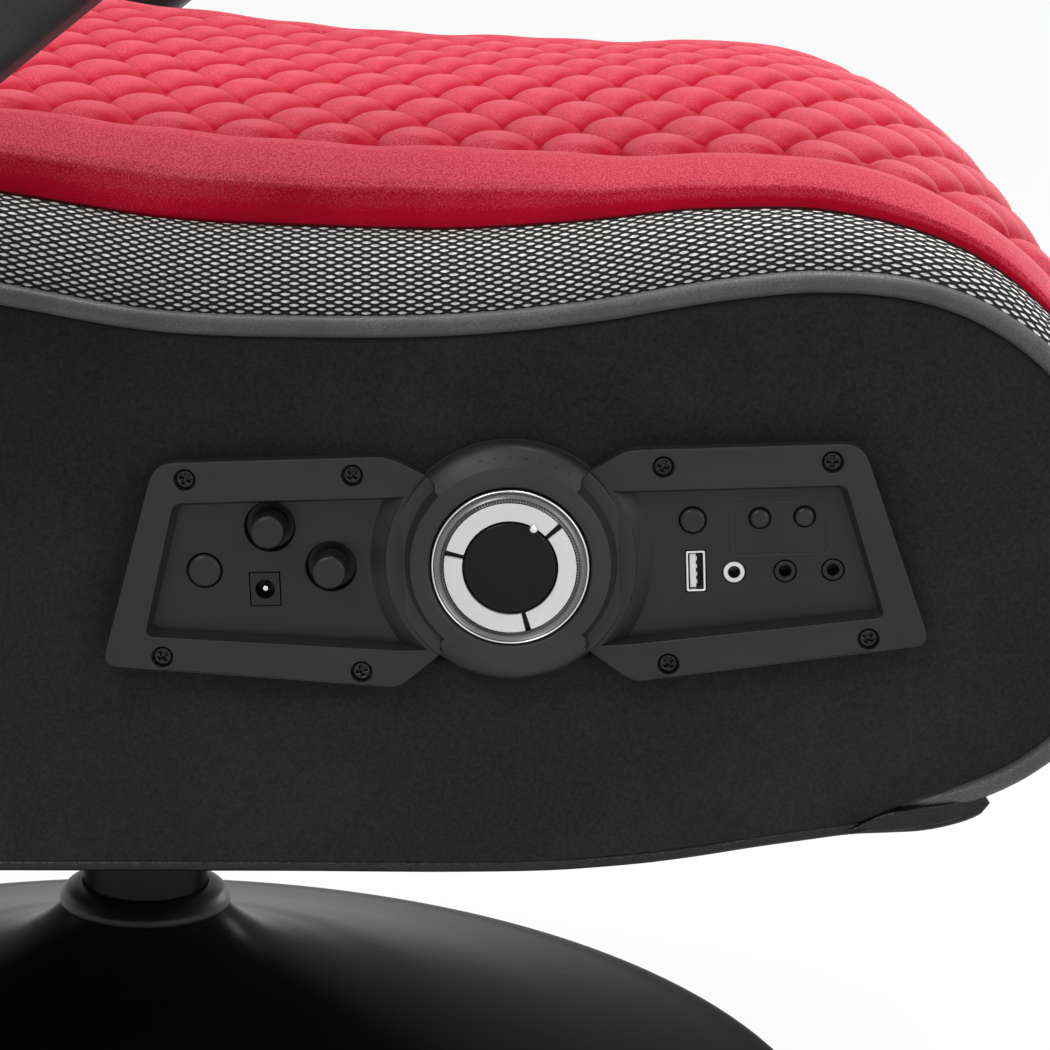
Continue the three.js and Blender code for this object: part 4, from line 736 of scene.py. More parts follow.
def bolster_section(rise):
    top = band_top(rise)
    crown = 2.9 * np.minimum(1, rise / (seam_rise * 0.6))
    wall = np.minimum(12.5, 0.6 * (rise - top))
    peak = rise + crown
    slope = peak - top - wall
    shoulder = ((2.6, 0.22), (6, 0.47), (10.5, 0.74), (15, 0.93))
    return closed_loop(rise, [
        (seam_half + 0.6, 0.6), (side_in - 0.5, 0.6), (side_in - 0.5, top * 0.7 + 0.6),
        (mesh_half - 0.8, top + 0.4), (mesh_half - 0.3, top + wall * 0.5), (mesh_half - 0.9, top + wall),
        *((mesh_half - y, top + wall + slope * share) for y, share in shoulder), (mesh_half - 19.5, peak),
        (mesh_half - 24, peak - crown * 0.22), (mesh_half - 28, rise + crown * 0.2),
        (seam_half + 0.5, rise - 6)], 4)


def ripples(s, y, out, rise):
    """Small waves from the seams, growing towards the roll's top."""
    lift = np.clip((out - rise * 0.62) / np.maximum(rise * 0.4, 1), 0, 1)
    return lift * (0.5 * np.sin(s / 19 + 0.6 * np.sin(s / 47)) + 0.35 * np.sin(s / 7.3 + y / 9))


for side, name in sides:
    swept(seat_run, bolster_section, whole_seat, 260, f"velvet_bolster_{name}", velvet,
          [f"seat_bolster_{name}"], side, ripples, soft=0.75)

# --- quilted seat cushion
# Velvet sewn over soft foam in staggered rows of small round pillows, like scales. The pad is
# crowned across the seat and rolls over the nose to the front rail.
quilt_pitch, quilt_rows, quilt_dome = 26.8, 11, 7


def pillows(s, y, half):
    """Height of the quilting: a round pillow over the nearest of the staggered centres."""
    step = 2 * half / quilt_rows
    row = np.floor((y + half) / step)
    near, next_near = np.full(s.shape, 1e9), np.full(s.shape, 1e9)
    for r in (row - 1, row, row + 1):
        off = np.where(np.mod(r, 2) == 0, 0.5, 0) * quilt_pitch
        width = (y + half - (r + 0.5) * step) * 0.82 * quilt_pitch / step
        first = np.floor((s - off) / quilt_pitch)
        for k in (0, 1):
            far = np.hypot(s - ((first + k) * quilt_pitch + off), width)
            closer = far < near
            next_near = np.where(closer, near, np.minimum(next_near, far))
            near = np.where(closer, far, near)
    reach = near / (0.58 * quilt_pitch)
    crease = np.clip((next_near - near) / (0.14 * quilt_pitch), 0, 1)
    return quilt_dome * np.maximum(1 - reach ** 2.8, -0.15) * (0.72 + 0.28 * np.sqrt(crease))


def pad_loop(rise, half, tops, foot):
    """Sections of a pad from the heights across its top, closed at its sides and foot."""
    across = zip(np.linspace(-half, half, tops.shape[1]), tops.T)
    low = [(half, rise * 0.5), (half, foot), (0, foot), (-half, foot), (-half, rise * 0.5), (-half, tops[:, 0])]
    return stations(rise, [*across, *low])


def quilt_section(half, columns, crown, sunk):
    """A pad's smooth section: crowned across, and sunk at its seams."""
    def section(rise):
        y = np.linspace(-half, half, columns)[None]
        edge = np.clip((half - np.abs(y)) / 7, 0, 1)
        tops = (rise - sunk)[:, None] + crown[:, None] * (1 - np.abs(y / half) ** 1.4) + 1.5 * edge ** 0.5
        return pad_loop(rise, half, tops, 0.5)
    return section


def quilting(run, half, s0, s1):
    """The wave and hollow functions of a quilted pad between two lengths. The pillows are equally
    long on its outer face. The hollow is a mask of painted shade: full in the creases between the
    pillows, and half on the side of each pillow that falls to the front."""
    samples = np.linspace(s0, s1, 500)
    x, z, nx, nz, rise = run.at(samples)
    steps = np.hypot(np.diff(x + nx * rise), np.diff(z + nz * rise))
    outer_length = np.concatenate([[0], np.cumsum(steps)])

    def pillows_at(s, y, forward=0.0, across=0.0):
        return pillows(np.interp(s, samples, outer_length) + forward, y + across, half)

    def wave(s, y, out, rise):
        edge = np.clip((half - np.abs(y)) / 8, 0, 1)
        ends = np.clip(np.minimum(s - s0, s1 - s) / 9, 0, 1)
        return pillows_at(s, y) * np.where(out > rise * 0.7, (0.3 + 0.7 * edge) * ends, 0)

    # Painted shade: the creases between the pillows, and the side of each pillow that falls to the front.
    def hollow(s, y, out, rise):
        lift = pillows_at(s, y)
        seam = np.clip((0.62 - lift / quilt_dome) / 0.5, 0, 1) ** 1.2
        turned = np.clip((pillows_at(s, y, -4.5, 3.5) - lift) / (0.24 * quilt_dome), 0, 1)
        return np.where(out > rise * 0.7, np.maximum(seam, 0.5 * turned), 0)
    return {"wave": wave, "hollow": hollow}


def seat_nose(s):
    """0 on the seat's top, 1 on its nose."""
    return np.clip((0.97 - seat_run.at(s)[3]) / 0.5, 0, 1)


def seat_crown(s):
    """How much the cushion's middle stands above its seams; it has been sat in."""
    fade = np.clip((seat_run.length - s) / (0.15 * seat_run.length), 0, 1)
    sat_in = np.interp(s, [0, 200, 300], [6, 6, 2])
    return (9 - 10 * seat_nose(s)) * fade * fade * (3 - 2 * fade) - sat_in


pad_steps, pad_columns = ((300, 205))
pad_half = seam_half - 0.2
along_seat = np.linspace(*whole_seat, pad_steps + 1)
seat_shape = quilt_section(pad_half, pad_columns, seat_crown(along_seat), 4.5 - 3 * seat_nose(along_seat))
swept(seat_run, seat_shape, whole_seat, pad_steps, "quilted_cushion", velvet, ["seat_cushion"],
      sharp=0, soft=0.8, **quilting(seat_run, pad_half, *whole_seat))

# --- control panel frame
# A black moulded bow tie, screwed to the side panel through a row of counterbores. Each wing has a
# sloping mouth that drops to the insert, and its inner end dips towards the dial.
panel_place = (standing(seat_place @ moved(panel_middle[0], 0, panel_middle[1]), -side_out)
               @ Matrix.Rotation(panel_tilt, 4, "Z"))
panel_plastic = moulded("panel_plastic", "moulded_plastic", (0.0135, 0.0135, 0.0142), (0.018, 0.018, 0.0188),
                        0.44, 3200, 0.00002, 18)
panel_rise, insert_rise, plate_back = 7, 2, -12.7
mouth_radius, mouth_flare, wing_dip = 44.5, 5, 37


def circle(x, y, radius, count=32):
    return arc(x, y, radius, 0, 2 * pi, count + 1)[:-1]


def mouth(grow, flare, rounding):
    """The mouth of one wing: straight sides, and a round wall towards the dial that flares out."""
    radius = mouth_radius - flare
    top, foot = np.arcsin((20.4 + grow) / radius), -np.arcsin((26.6 + grow) / radius)
    corners = [(103.5 + grow, 20.4 + grow), *arc(0, 0, radius, top, foot, 13), (115 + grow, -19.2 - grow)]
    return rounded(corners, [rounding] + [0] * 13 + [rounding])


def disc(bm, x, y, z, radius, segments=32):
    bmesh.ops.create_circle(bm, cap_ends=True, segments=segments, radius=radius * mm,
                            matrix=moved(x, y, z))


def gathered(*parts):
    """One bmesh from several, which are used up."""
    whole = bmesh.new()
    for part in parts:
        mesh = bpy.data.meshes.new("part")
        part.to_mesh(mesh)
        part.free()
        whole.from_mesh(mesh)
        bpy.data.meshes.remove(mesh)
    return whole


def on_panel(bm, name, material, replaced=(), body="seat", at=(0, 0), sharp=35):
    return put(bm, name, material, replaced, body, panel_place @ moved(*at), sharp)


wing = rounded([(23, 26.6), (wing_dip, 35.1), (110.5, 35.1), (131, -30.2), (wing_dip, -39.8), (23, -29.8)],
               [2, 4, 6.5, 5.5, 4, 2])
screws = [(101, 29.5), (48.5, 29.4), (111.5, -27.7), (48.5, -34.2)]
mouth_rim = mouth(1.5, mouth_flare, 2.6)
outlines = [wing, mouth_rim] + [circle(x, y, 3.4) for x, y in screws]
one_wing = flat_curve([[(-x, y) for x, y in ring] for ring in outlines], panel_rise - 0.3, 0.55, base=0.3)
rings = []
for ring, z in ((mouth(0, 0, 2), insert_rise), (mouth_rim, panel_rise - 0.35)):
    verts = [one_wing.verts.new((-x * mm, y * mm, z * mm)) for x, y in ring]
    rings += [one_wing.edges.new(pair) for pair in zip(verts, verts[1:] + verts[:1])]
bmesh.ops.bridge_loops(one_wing, edges=rings)
for x, y in screws:
    disc(one_wing, -x, y, 3.6, 3.4)
cut_across(one_wing, 0, [-wing_dip])
for v in one_wing.verts:
    if v.co.z > 3 * mm:
        v.co.z -= max(0, wing_dip * mm + v.co.x) * 0.25
other_wing = one_wing.copy()
bmesh.ops.scale(other_wing, verts=other_wing.verts, vec=(-1, 1, 1))
bmesh.ops.reverse_faces(other_wing, faces=other_wing.faces)
frame_mesh = gathered(one_wing, other_wing)
disc(frame_mesh, 0, 0, 1.9, 38.8, 64)
on_panel(frame_mesh, "panel_bezel", panel_plastic, ["panel_frame"])

# Black pan-head screws with cross recesses sit in the counterbores.
screw_black = coated_metal("blackened_screw_steel", "steel", (0.03, 0.03, 0.03), 0.12, 0.4)
slot_corner = [(0.42, 0.42), (0.42, 1.75), (-0.42, 1.75)]
cross = [(x * cos(a) - y * sin(a), x * sin(a) + y * cos(a))
         for a in (0, pi / 2, pi, pi * 1.5) for x, y in slot_corner]
screw_parts = []
for side in (1, -1):
    for k, (x, y) in enumerate(screws):
        head = flat_curve([circle(0, 0, 2.9, 40), cross], 1.9, 0.6, 4, 3.7)
        disc(head, 0, 0, 3.9, 2, 24)
        turn = Matrix.Rotation(0.5 + 1.3 * k + side, 4, "Z")
        head.transform(moved(side * x, y) @ turn)
        screw_parts.append(head)
on_panel(gathered(*screw_parts), "panel_screws", screw_black)

# --- panel insert and circuit board
# One dark moulded plate carries the controls and fills both mouths from behind. Fine engraved
# lines group the two light buttons; the board with the sockets stands behind it on posts.
insert_plastic = moulded("insert_plastic", "dark_plastic", (0.0085, 0.0085, 0.0092), (0.012, 0.012, 0.0127),
                         0.4, 3600, 0.000012, 18)
power_at, usb_at = (-78.2, -7.6), (57.9, -5.4)
jacks = (("input", "white", 69.9, -6.1), ("rear_output", "black", 85.9, -6.2),
         ("front_output", "black", 100.9, -6.2))
knobs = (("vibration_knob", -75.7, 12.6), ("bass_knob", -57, -0.8))
buttons = (("power_button", -97.1, -1, 5.3), ("mode_button", 57.3, 11.1, 4),
           ("light_up_button", 78.3, 11.2, 3.1), ("light_down_button", 92.3, 11.3, 3.1))


def square(x, y, width, height):
    w, h = width / 2, height / 2
    return [(x - w, y - h), (x + w, y - h), (x + w, y + h), (x - w, y + h)]


openings = [circle(x, y, 8, 40) for _, x, y in knobs]
openings += [circle(x, y, radius + 0.35, 40) for _, x, y, radius in buttons]
openings += [circle(x, y, 3.7, 40) for *_, x, y in jacks] + [circle(0, 0, 3.8, 40)]
openings += [square(*power_at, 9.9, 11.2), square(*usb_at, 6.6, 13.7)]
on_panel(flat_curve([lipped(3)] + openings, 2 + insert_rise - 0.1, 0.25, 2, -2), "panel_floor", insert_plastic,
         ["panel_insert"])
pale_ink = moulded("pale_ink", "dark_plastic", (0.02, 0.02, 0.021), (0.028, 0.028, 0.029), 0.6, 3600, 0.000005)
frame_line = [rounded(square(85, 7.8, 31 + grow, 17.5 + grow), [2.6 + grow / 2] * 4) for grow in (0, -0.8)]
on_panel(flat_curve(frame_line, 0.09, 0.03, 1, insert_rise - 0.08), "light_group_line", pale_ink)
look = Surface("green_circuit_board")
tracks = look.add("ShaderNodeTexBrick", {
    "Scale": 120, "Vector": look.add("ShaderNodeTexCoord").outputs["Object"],
    "Color1": (0.01, 0.09, 0.03), "Color2": (0.012, 0.12, 0.04), "Mortar": (0.02, 0.2, 0.07)})
circuit = look.finish(base_color=tracks.outputs["Color"],
                      roughness=look.spread(look.noise(300), 0.3, 0.7, 0.25, 0.4))
clothe(circuit, "circuit_board")

# --- sockets
# A power socket with a centre pin, a steel-shelled USB socket and three small audio sockets, the
# input ringed in white. Their shells stand on the circuit board and end flush with the insert.
socket_black = moulded("socket_plastic", "black_plastic", 0.005, 0.01, 0.35)
bright_metal = mill_steel("plated_shell", (0.62, 0.62, 0.61), (0.8, 0.8, 0.79), 0.22)
# The audio sockets' contact sleeves are near-black steel: painted shade inside their holes.
shade_dark_steel = mill_steel("shade_darkened_spring_steel", 0.012, 0.03, 0.2)
white_plastic = moulded("white_plastic", "white_plastic", (0.66, 0.66, 0.65), (0.74, 0.74, 0.73), 0.3)
shell_depth = 2 - plate_back
jack = flat_curve([square(0, 0, 9.3, 10.6), circle(0, 0, 3.1)], shell_depth, 0.2, 2, plate_back)
disc(jack, 0, 0, -6.5, 3.1)
on_panel(jack, "power_socket", socket_black, ["dc_jack"], at=power_at)
pin = round_off([(0.01, 1.2), (0.95, 1.1), (1, -6)], 0.5)
on_panel(spun(pin, 24), "power_socket_pin", bright_metal, at=power_at)
shell = [rounded(square(0, 0, 6, 13.1), [0.7] * 4), rounded(square(0, 0, 4.7, 11.8), [0.4] * 4)]
contacts = [square(0.25, y, 0.3, 1.3) for y in (-3.75, -1.25, 1.25, 3.75)]
for name, material, outlines, depth, edge, resolution, base, replaced in (
    ("usb_shell", bright_metal, shell, shell_depth, 0.15, 2, plate_back, ["usb_socket"]),
    ("usb_tongue", white_plastic, [square(-0.9, 0, 1.9, 10.8)], 8.4, 0.15, 2, -7.4, ()),
    ("usb_block", socket_black, [square(0, 0, 4.8, 11.9)], 3, 0.1, 1, -10, ()),
    ("usb_contacts", bright_metal, contacts, 7.5, 0.05, 1, -7.2, ()),
):
    on_panel(flat_curve(outlines, depth, edge, resolution, base), name, material, replaced, at=usb_at)
barrel = round_off([(1.95, -7), (1.95, 2.1), (3.35, 2.1), (3.4, plate_back)], 0.5)
sleeve = round_off([(1.78, -6.8), (1.78, 1.5), (1.92, 1.6), (1.93, -6.8)], 0.1)
for name, ring, x, y in jacks:
    material = white_plastic if ring == "white" else socket_black
    on_panel(spun([(0.01, -7)] + barrel + [(0.01, plate_back)], 48), f"{name}_socket", material,
             [f"{name}_jack"], at=(x, y))
    on_panel(spun(sleeve, 32), f"{name}_socket_contact", shade_dark_steel, at=(x, y))

# --- knobs and buttons
# Round push buttons with softened edges on thin stems, and two plain round knobs that turn in
# wide openings. All are moulded in the same satin black plastic.
button_plastic = moulded("button_plastic", "dark_plastic", (0.0105, 0.0105, 0.0113), (0.016, 0.016, 0.017),
                         0.36, 3400)
for name, x, y, radius in buttons:
    cap = round_off([(0.01, 3.5), (radius * 0.7, 3.35), (radius, 2.6), (radius, -2), (2, -2), (2, -11.7)], 0.8)
    on_panel(spun(cap + [(0.01, -11.7)], 48), f"{name}_cap", button_plastic, [name], name, (x, y))
for name, x, y in knobs:
    cap = round_off([(0.01, 10.3), (4.4, 10.5), (5.3, 9.7), (5.7, 0.4), (3, 0.4), (3, plate_back)], 0.9)
    on_panel(spun(cap + [(0.01, plate_back)], 64), f"{name}_cap", button_plastic, [name], name, (x, y))
    well = round_off([(7.9, 1.6), (7.9, -1.6), (3.4, -1.9)], 0.6)
    on_panel(spun(well, 48), f"{name}_well", insert_plastic, at=(x, y))

# --- volume dial
# A stepped black cup with a polished mouth holds a wide dial: a bright rim, a knurled ring of
# smoked chrome, a silver ring broken by three black bars, and a plain black cap with a small ball
# as its pointer.
housing_plastic = moulded("dial_housing_plastic", "moulded_plastic", (0.017, 0.017, 0.018),
                          (0.026, 0.026, 0.027), 0.42, 3000, 0.000025, 30)
gloss_black = moulded("polished_black_plastic", "dark_plastic", 0.005, 0.008, 0.2, 3000,
                      0.000003, 30, 0.13)
wall = round_off([(31.4, 10.9), (26.8, 12.5), (25.2, 11.7), (25, 10), (25, 4.7)], 1)
cup = spun([(3.8, 2.3), (31.4, 2.3), (31.4, 10.2)] + wall + [(3.8, 4.7)], 128, True)
on_panel(cup, "dial_cup", housing_plastic, ["dial_housing"], sharp=30)
# The skirt's slope stops at a flat where the wings run in under it.
skirt_top, flat_rise, wing_start = 31.5, 6.2, 23
skirt = spun(round_off([(31.2, 10.95), (34.5, 9.2), (37.2, 7), (38.2, 4.8), (38.2, 2.3)], 1.2, 3), 768)
for v in skirt.verts:
    x, y = abs(v.co.x) / mm, v.co.y / mm
    beyond = x - wing_start
    if beyond > 0 and -29.8 - beyond * 0.7 < y < 26.6 + beyond * 0.607 and hypot(x, y) > skirt_top:
        v.co.z = min(v.co.z, flat_rise * mm)
on_panel(skirt, "dial_skirt", housing_plastic, sharp=40)
dots = []
for angle in range(56, 112, 8):
    dots.append(bmesh.new())
    at = turned(angle, "Z") @ moved(34.6, 0, 9.15) @ turned(38, "Y")
    bmesh.ops.create_cone(dots[-1], cap_ends=True, segments=16, radius1=0.55 * mm, radius2=0.4 * mm,
                          depth=0.3 * mm, matrix=at)
on_panel(gathered(*dots), "dial_scale_dots", housing_plastic, sharp=30)
chrome = mill_steel("satin_chrome", (0.62, 0.62, 0.63), (0.78, 0.78, 0.78), 0.16)
dark_chrome = mill_steel("smoked_chrome", (0.13, 0.13, 0.135), (0.19, 0.19, 0.195), 0.22)
dial = "volume_dial"
drum = round_off([(0.01, plate_back), (3, plate_back), (3, 5), (24.4, 5), (24.4, 11.2), (23.9, 11.6)], 0.5)
on_panel(spun(drum + [(0.01, 11.6)], 120), "dial_drum", gloss_black, [dial], dial, sharp=30)
rim_profile = round_off([(23.7, 11.4), (23.9, 12.5), (24.3, 12.9), (24.75, 12.4), (24.8, 11.2)], 0.35)
on_panel(spun(rim_profile, 180), "dial_rim", chrome, body=dial, sharp=60)
dish = round_off([(23.8, 12.2), (22.9, 11.7), (22.2, 12), (21.8, 12.4)], 0.5)
on_panel(spun(dish, 120), "dial_dish", dark_chrome, body=dial, sharp=60)
knurl_steps = 288
knurl = spun([(21.9, 12), (21.8, 12.7), (21.1, 13.4), (20.9, 12)], knurl_steps)
for v in knurl.verts:
    tooth = int(np.rint(np.arctan2(v.co.y, v.co.x) / (2 * pi) * knurl_steps)) % 2
    v.co.x *= 1 - 0.012 * tooth
    v.co.y *= 1 - 0.012 * tooth
on_panel(knurl, "dial_knurl", dark_chrome, body=dial, sharp=20)
silver_paint = moulded("silver_paint", "silver", 0.6, 0.68, 0.35, 3000, 0.00001)
arcs = []
for first_angle, last_angle in ((41.6, 162.4), (167.6, 281.4), (286.6, 396.4)):
    outer, inner = (arc(0, 0, radius, radians(first_angle), radians(last_angle), 48) for radius in (20.7, 15))
    arcs.append(flat_curve([outer + inner[::-1]], 1.9, 0.3, 2, 11.8))
on_panel(gathered(*arcs), "dial_silver_ring", silver_paint, body=dial)
cap = round_off([(0.01, 13.9), (11, 13.8), (14.3, 13.3), (14.8, 11.8)], 1.2)
on_panel(spun(cap, 96), "dial_cap", gloss_black, body=dial, sharp=60)
ball = bmesh.new()
ball_at = moved(14.6 * cos(radians(58)), 14.6 * sin(radians(58)), 13.4)
bmesh.ops.create_uvsphere(ball, u_segments=24, v_segments=16, radius=1.5 * mm, matrix=ball_at)
on_panel(ball, "dial_pointer", chrome, body=dial, sharp=0)

# --- fold hinges and arm pivots
# Pressed steel plates stand on the deck inside the side panels; the back turns on their pins. The
# arms turn on flanged pins bolted through the side panels.
clothe(steel, "hinge_plate_right", "hinge_plate_left", "arm_pivot_right", "arm_pivot_left")

# --- back
# A stained board between padded suede sides, with velvet bolsters, a quilted velvet pad and a
# suede cover behind, open over the woofer. It narrows towards the top.
back_place = seat_place @ moved(hinge_x, 0, hinge_z) @ turned(-14, "Y")
back_length, back_depth, back_rise, taper_share = 665, 85, 44, 0.15
back_run = EdgeRun([(x * back_depth, z * back_length, rise * back_rise) for x, z, rise in (
    (-0.62, 1, 0.3), (-0.36, 0.985, 0.5), (-0.22, 0.94, 0.75), (-0.2, 0.85, 0.95), (-0.22, 0.72, 1),
    (-0.16, 0.56, 1), (-0.08, 0.4, 1), (-0.05, 0.25, 1), (-0.06, 0.12, 1), (-0.09, 0, 1), (-0.12, -0.09, 0.95))])
rear_edge = [(x * back_depth, z * back_length, 0) for x, z in (
    (-1, 0), (-1.03, 0.2), (-0.96, 0.42), (-0.86, 0.64), (-0.76, 0.83), (-0.7, 0.94), (-0.665, 0.99))]


def reshape(piece):
    """Narrow a finished piece of the back towards its top, and keep its foot inside the joint."""
    bm = bmesh.new()
    bm.from_mesh(piece.data)
    bm.transform(back_place.inverted())
    foot_radius = joint_radius - 0.6
    for v in bm.verts:
        height_share = (v.co.z / mm + joint_radius) / (back_length + joint_radius)
        v.co.y *= 1 - taper_share * height_share
        far = hypot(v.co.x, v.co.z) / mm
        if v.co.z < 0 and far > foot_radius:
            v.co.x *= foot_radius / far
            v.co.z *= foot_radius / far
    bm.transform(back_place)
    bmesh.ops.recalc_face_normals(bm, faces=bm.faces)
    bm.to_mesh(piece.data)
    bm.free()


front_line = [(x, z) for x, z, *_ in back_run.evenly(60) if z > -45]
foot_arc = arc(0, 0, joint_radius, -pi / 2 - 0.15, -pi, 16)
rear_line = [(x, z) for x, z, _ in smooth_run(rear_edge, 6)[1:]]
back_side_in = 223.6
for side, name in sides:
    slab = flat_curve([front_line + foot_arc + rear_line], side_out - back_side_in, 2.6)
    reshape(put(slab, f"back_suede_{name}", suede, [f"back_side_{name}"], "back",
                standing(back_place, -back_side_in if side < 0 else side_out), 40))


def back_bolster_section(rise):
    inner = seam_half + 0.8
    span = band_outer - inner
    return closed_loop(rise, [
        (inner, 0.8), (band_outer, 0.8), (band_outer + 0.4, rise * 0.25),
        *((band_outer - span * y, rise * share) for y, share in ((0.05, 0.5), (0.18, 0.74), (0.36, 0.95))),
        *((band_outer - span * y, rise + up) for y, up in ((0.55, 4.6), (0.72, 5.6), (0.88, 3.4))),
        (inner, rise - 5)], 4)


def back_length_at(height):
    """Length along the back's front face, from its top down to a height over the hinge."""
    return float(np.interp(-height, -back_run.run[:, 1], back_run.s))


on_back = {"place": back_place, "body": "back"}
for side, name in sides:
    reshape(swept(back_run, back_bolster_section, (0, back_run.length - 20), 200,
                  f"back_velvet_bolster_{name}", velvet, [f"back_bolster_{name}"], side, ripples,
                  soft=0.75, **on_back))
head_start, seam_gap = 525, 0.6
pad_reach = (back_length_at(head_start - seam_gap), back_run.length - 22)
back_shape = quilt_section(pad_half, pad_columns, np.full(pad_steps + 1, 9.0), 2.5)
reshape(swept(back_run, back_shape, pad_reach, pad_steps, "back_quilted_pad", velvet, ["back_cushion"],
              sharp=0, soft=0.8, **on_back, **quilting(back_run, pad_half, *pad_reach)))

# The rear cover is suede over thin board and foam. It is cut flat with its opening, then bent to
# the back's rear line.
rear_run = EdgeRun(rear_edge)
woofer_height = 0.436 * back_length
woofer_at = float(np.interp(woofer_height, rear_run.run[:, 1], rear_run.s))
cover_half, cover_depth, opening = 222.6, 16, 52
sheet = square(0, rear_run.length / 2, 2 * cover_half, rear_run.length)
cover = flat_curve([rounded(sheet, [3] * 4), circle(0, woofer_at, opening, 64)], cover_depth, 3)
cut_across(cover, 1, np.linspace(0, rear_run.length, 40)[1:-1])
cut_across(cover, 0, np.linspace(-cover_half, cover_half, 16)[1:-1])
for v in cover.verts:
    y, s, out = v.co.x / mm, v.co.y / mm, v.co.z / mm
    x, z, nx, nz, _ = rear_run.at(s)
    swell = 2.2 * (1 - (y / cover_half) ** 2) * min(1, max(0, (hypot(y, s - woofer_at) - opening) / 30))
    out += (swell if out > cover_depth / 2 else 0) - cover_depth
    v.co = (x + nx * out) * mm, y * mm, (z + nz * out) * mm
reshape(put(cover, "suede_rear_cover", suede, ["back_cover"], "back", back_place, 50))

# --- woofer
# A paper cone with a rubber surround and a domed cap, screwed behind the opening in the cover with
# a moulded ring.
facing_back = back_place @ moved(0, 0, woofer_height) @ turned(-90, "Y")
cone_paper = moulded("woofer_cone_paper", "dark_plastic", (0.012, 0.012, 0.013), (0.028, 0.028, 0.029), 0.75,
                     1200, 0.00003)
ring_profile = [(44.5, 79), (46.5, 84.3), (51.6, 84.4), (51.7, 82), (51.7, 60), (40, 60), (30, 50), (27, 50),
                (27, 36.4), (0.01, 36.4)]
surround = round_off([(45, 80), (44.4, 82.6), (42, 83.6), (39.5, 82.4), (38.8, 79.6)], 1.6)
cone = [(39, 79.8), (30, 74), (21, 67.5), (16, 63.5)]
dome = [(16.2, 64), (15, 68), (11, 71.4), (6, 73), (0.01, 73.6)]
for name, profile, steps, material, replaced, sharp in (
    ("woofer_ring", round_off(ring_profile, 1.4), 96, motor_plastic, ["woofer"], 35),
    ("woofer_surround", surround, 96, rubber, (), 35),
    ("woofer_cone", cone, 96, cone_paper, (), 60),
    ("woofer_cap", dome, 64, cone_paper, (), 60),
):
    put(spun(profile, steps), name, material, replaced, "back", facing_back, sharp)

# --- headrest and its speakers
# A plump velvet pillow across the top of the back, pulled in round two small speakers with woven
# fronts.
speaker_height, speaker_offset, dimple_radius = back_length - 69, 122, 43
head_end, speaker_at = back_length_at(head_start + seam_gap), back_length_at(speaker_height)


def head_section(rise):
    y = np.linspace(-pad_half, pad_half, 121)[None]
    return pad_loop(rise, pad_half, rise[:, None] + 12 * (1 - (np.abs(y) / pad_half) ** 2.6), 0.6)


def head_puff(s, y, out, rise):
    """The pillow swells from its seams, and dips round the speakers."""
    up = np.clip((out - rise * 0.7) / (rise * 0.3), 0, 1)
    end = 1 - (1 - np.clip(np.minimum(s, head_end - s) / 34, 0, 1)) ** 2.4
    near = np.hypot(np.abs(y) - speaker_offset, s - speaker_at)
    dimple = np.clip((dimple_radius - near) / 9, 0, 1) ** 2 * 9
    return up * (5 * end - 4 - dimple + 0.8 * np.sin(y / 23) * np.sin(s / 31))


reshape(swept(back_run, head_section, (0.5, head_end), 90, "headrest_pillow", velvet, ["headrest"],
              wave=head_puff, sharp=0, soft=0.85, **on_back))
look = Surface("speaker_front_cloth", "dark_plastic")
coordinates = look.add("ShaderNodeTexCoord").outputs["Object"]
threads = look.add("ShaderNodeTexChecker", {"Vector": coordinates, "Scale": 900}).outputs["Fac"]
speaker_cloth = look.finish(base_color=look.blend(threads, 0.004, (0.022, 0.022, 0.023)), roughness=0.8,
                            normal=look.bump(threads, 0.0002))
trim = round_off([(29.4, 31), (30.2, 35), (33.6, 35.2), (34, 33), (34, 0), (0.01, 0)], 1.1)
speaker_front = [(29.8, 31.5), (20, 33.2), (10, 34.1), (0.01, 34.4)]
for side, name in sides:
    facing_front = back_place @ moved(0, side * speaker_offset, speaker_height) @ turned(90, "Y")
    put(spun(trim), f"speaker_ring_{name}", motor_plastic, [f"headrest_speaker_{name}"], "back", facing_front)
    put(spun(speaker_front, 64), f"speaker_front_{name}", speaker_cloth, (), "back", facing_front, 60)

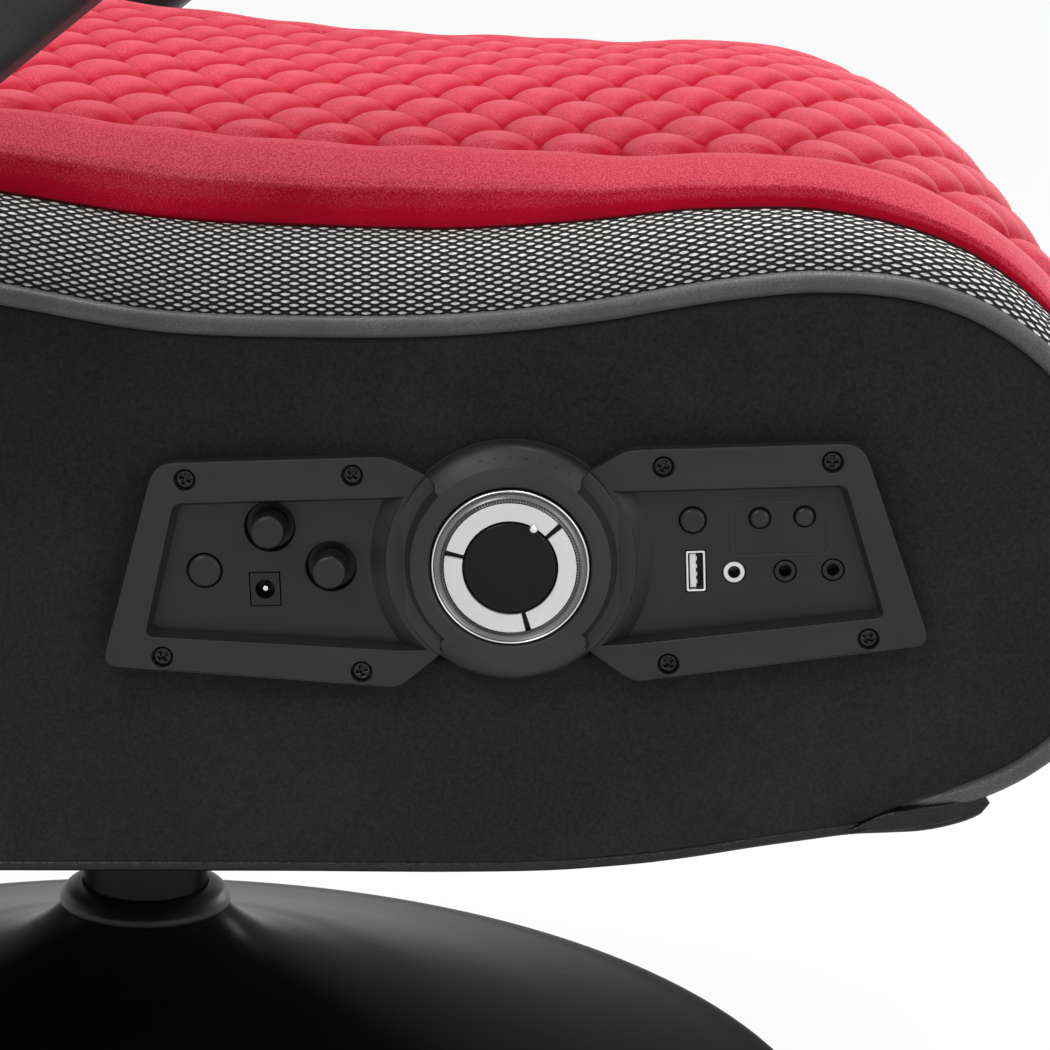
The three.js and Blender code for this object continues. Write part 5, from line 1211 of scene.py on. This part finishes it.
# --- arms
# Boomerang arms of moulded foam in black pebbled vinyl. Each turns on a flanged pin low on the
# seat's side, so it can be flipped up.
arm_vinyl = vinyl("black_arm_vinyl", "vinyl", (0.009, 0.009, 0.0088), (0.026, 0.026, 0.0255), 0.5, 1500,
                  0.00006)
arm_pivot_x, arm_pivot_z, arm_half, arm_under, arm_slope = -150, 388, 37, 34.4, radians(37.6)
arm_in, arm_out, arm_edge = 262, 328, 12.5


def arm_point(along, out):
    """A point of the sloping part, by its place along the slope and its distance from its axis."""
    c, s = cos(arm_slope), sin(arm_slope)
    return (arm_pivot_x + c * along - s * out, arm_pivot_z + s * along + c * out)


def curve_through(*points, steps=16):
    """A Bezier curve of any degree, without its first point."""
    made = []
    for t in np.linspace(0, 1, steps + 1)[1:]:
        p = [Vector(q) for q in points]
        while len(p) > 1:
            p = [a.lerp(b, t) for a, b in zip(p, p[1:])]
        made.append(tuple(p[0]))
    return made


low_end, rear_end = arm_point(270, -arm_under), arm_point(113.4, arm_half)
pad_top, pad_depth, pad_front, pad_rear, nose_radius = arm_pivot_z + 238, 66, 205, 4, 33
pad_low = pad_top - pad_depth
arm_outline = [arm_point(0, -arm_half), arm_point(50, -arm_under), arm_point(180, -arm_under), low_end]
arm_outline += curve_through(low_end, (low_end[0] + arm_under, pad_low), (low_end[0] + pad_depth, pad_low))
arm_outline += arc(pad_front, pad_top - nose_radius, nose_radius, -pi / 2, pi / 2, 19) + [(pad_rear, pad_top)]
arm_outline += curve_through((pad_rear, pad_top), (-62, pad_top),
                             (rear_end[0] + arm_half, rear_end[1] + arm_half), rear_end, steps=24)
arm_outline += arc(arm_pivot_x, arm_pivot_z, arm_half, arm_slope + pi / 2, arm_slope + pi * 1.5, 24)[:-1]
for side, name in sides:
    put(flat_curve([arm_outline], arm_out - arm_in, arm_edge, 8), f"vinyl_arm_{name}", arm_vinyl,
        [f"arm_{name}"], f"arm_{name}", standing(seat_place, -arm_in if side < 0 else arm_out), 60)

# --- finish
bpy.context.view_layer.update()
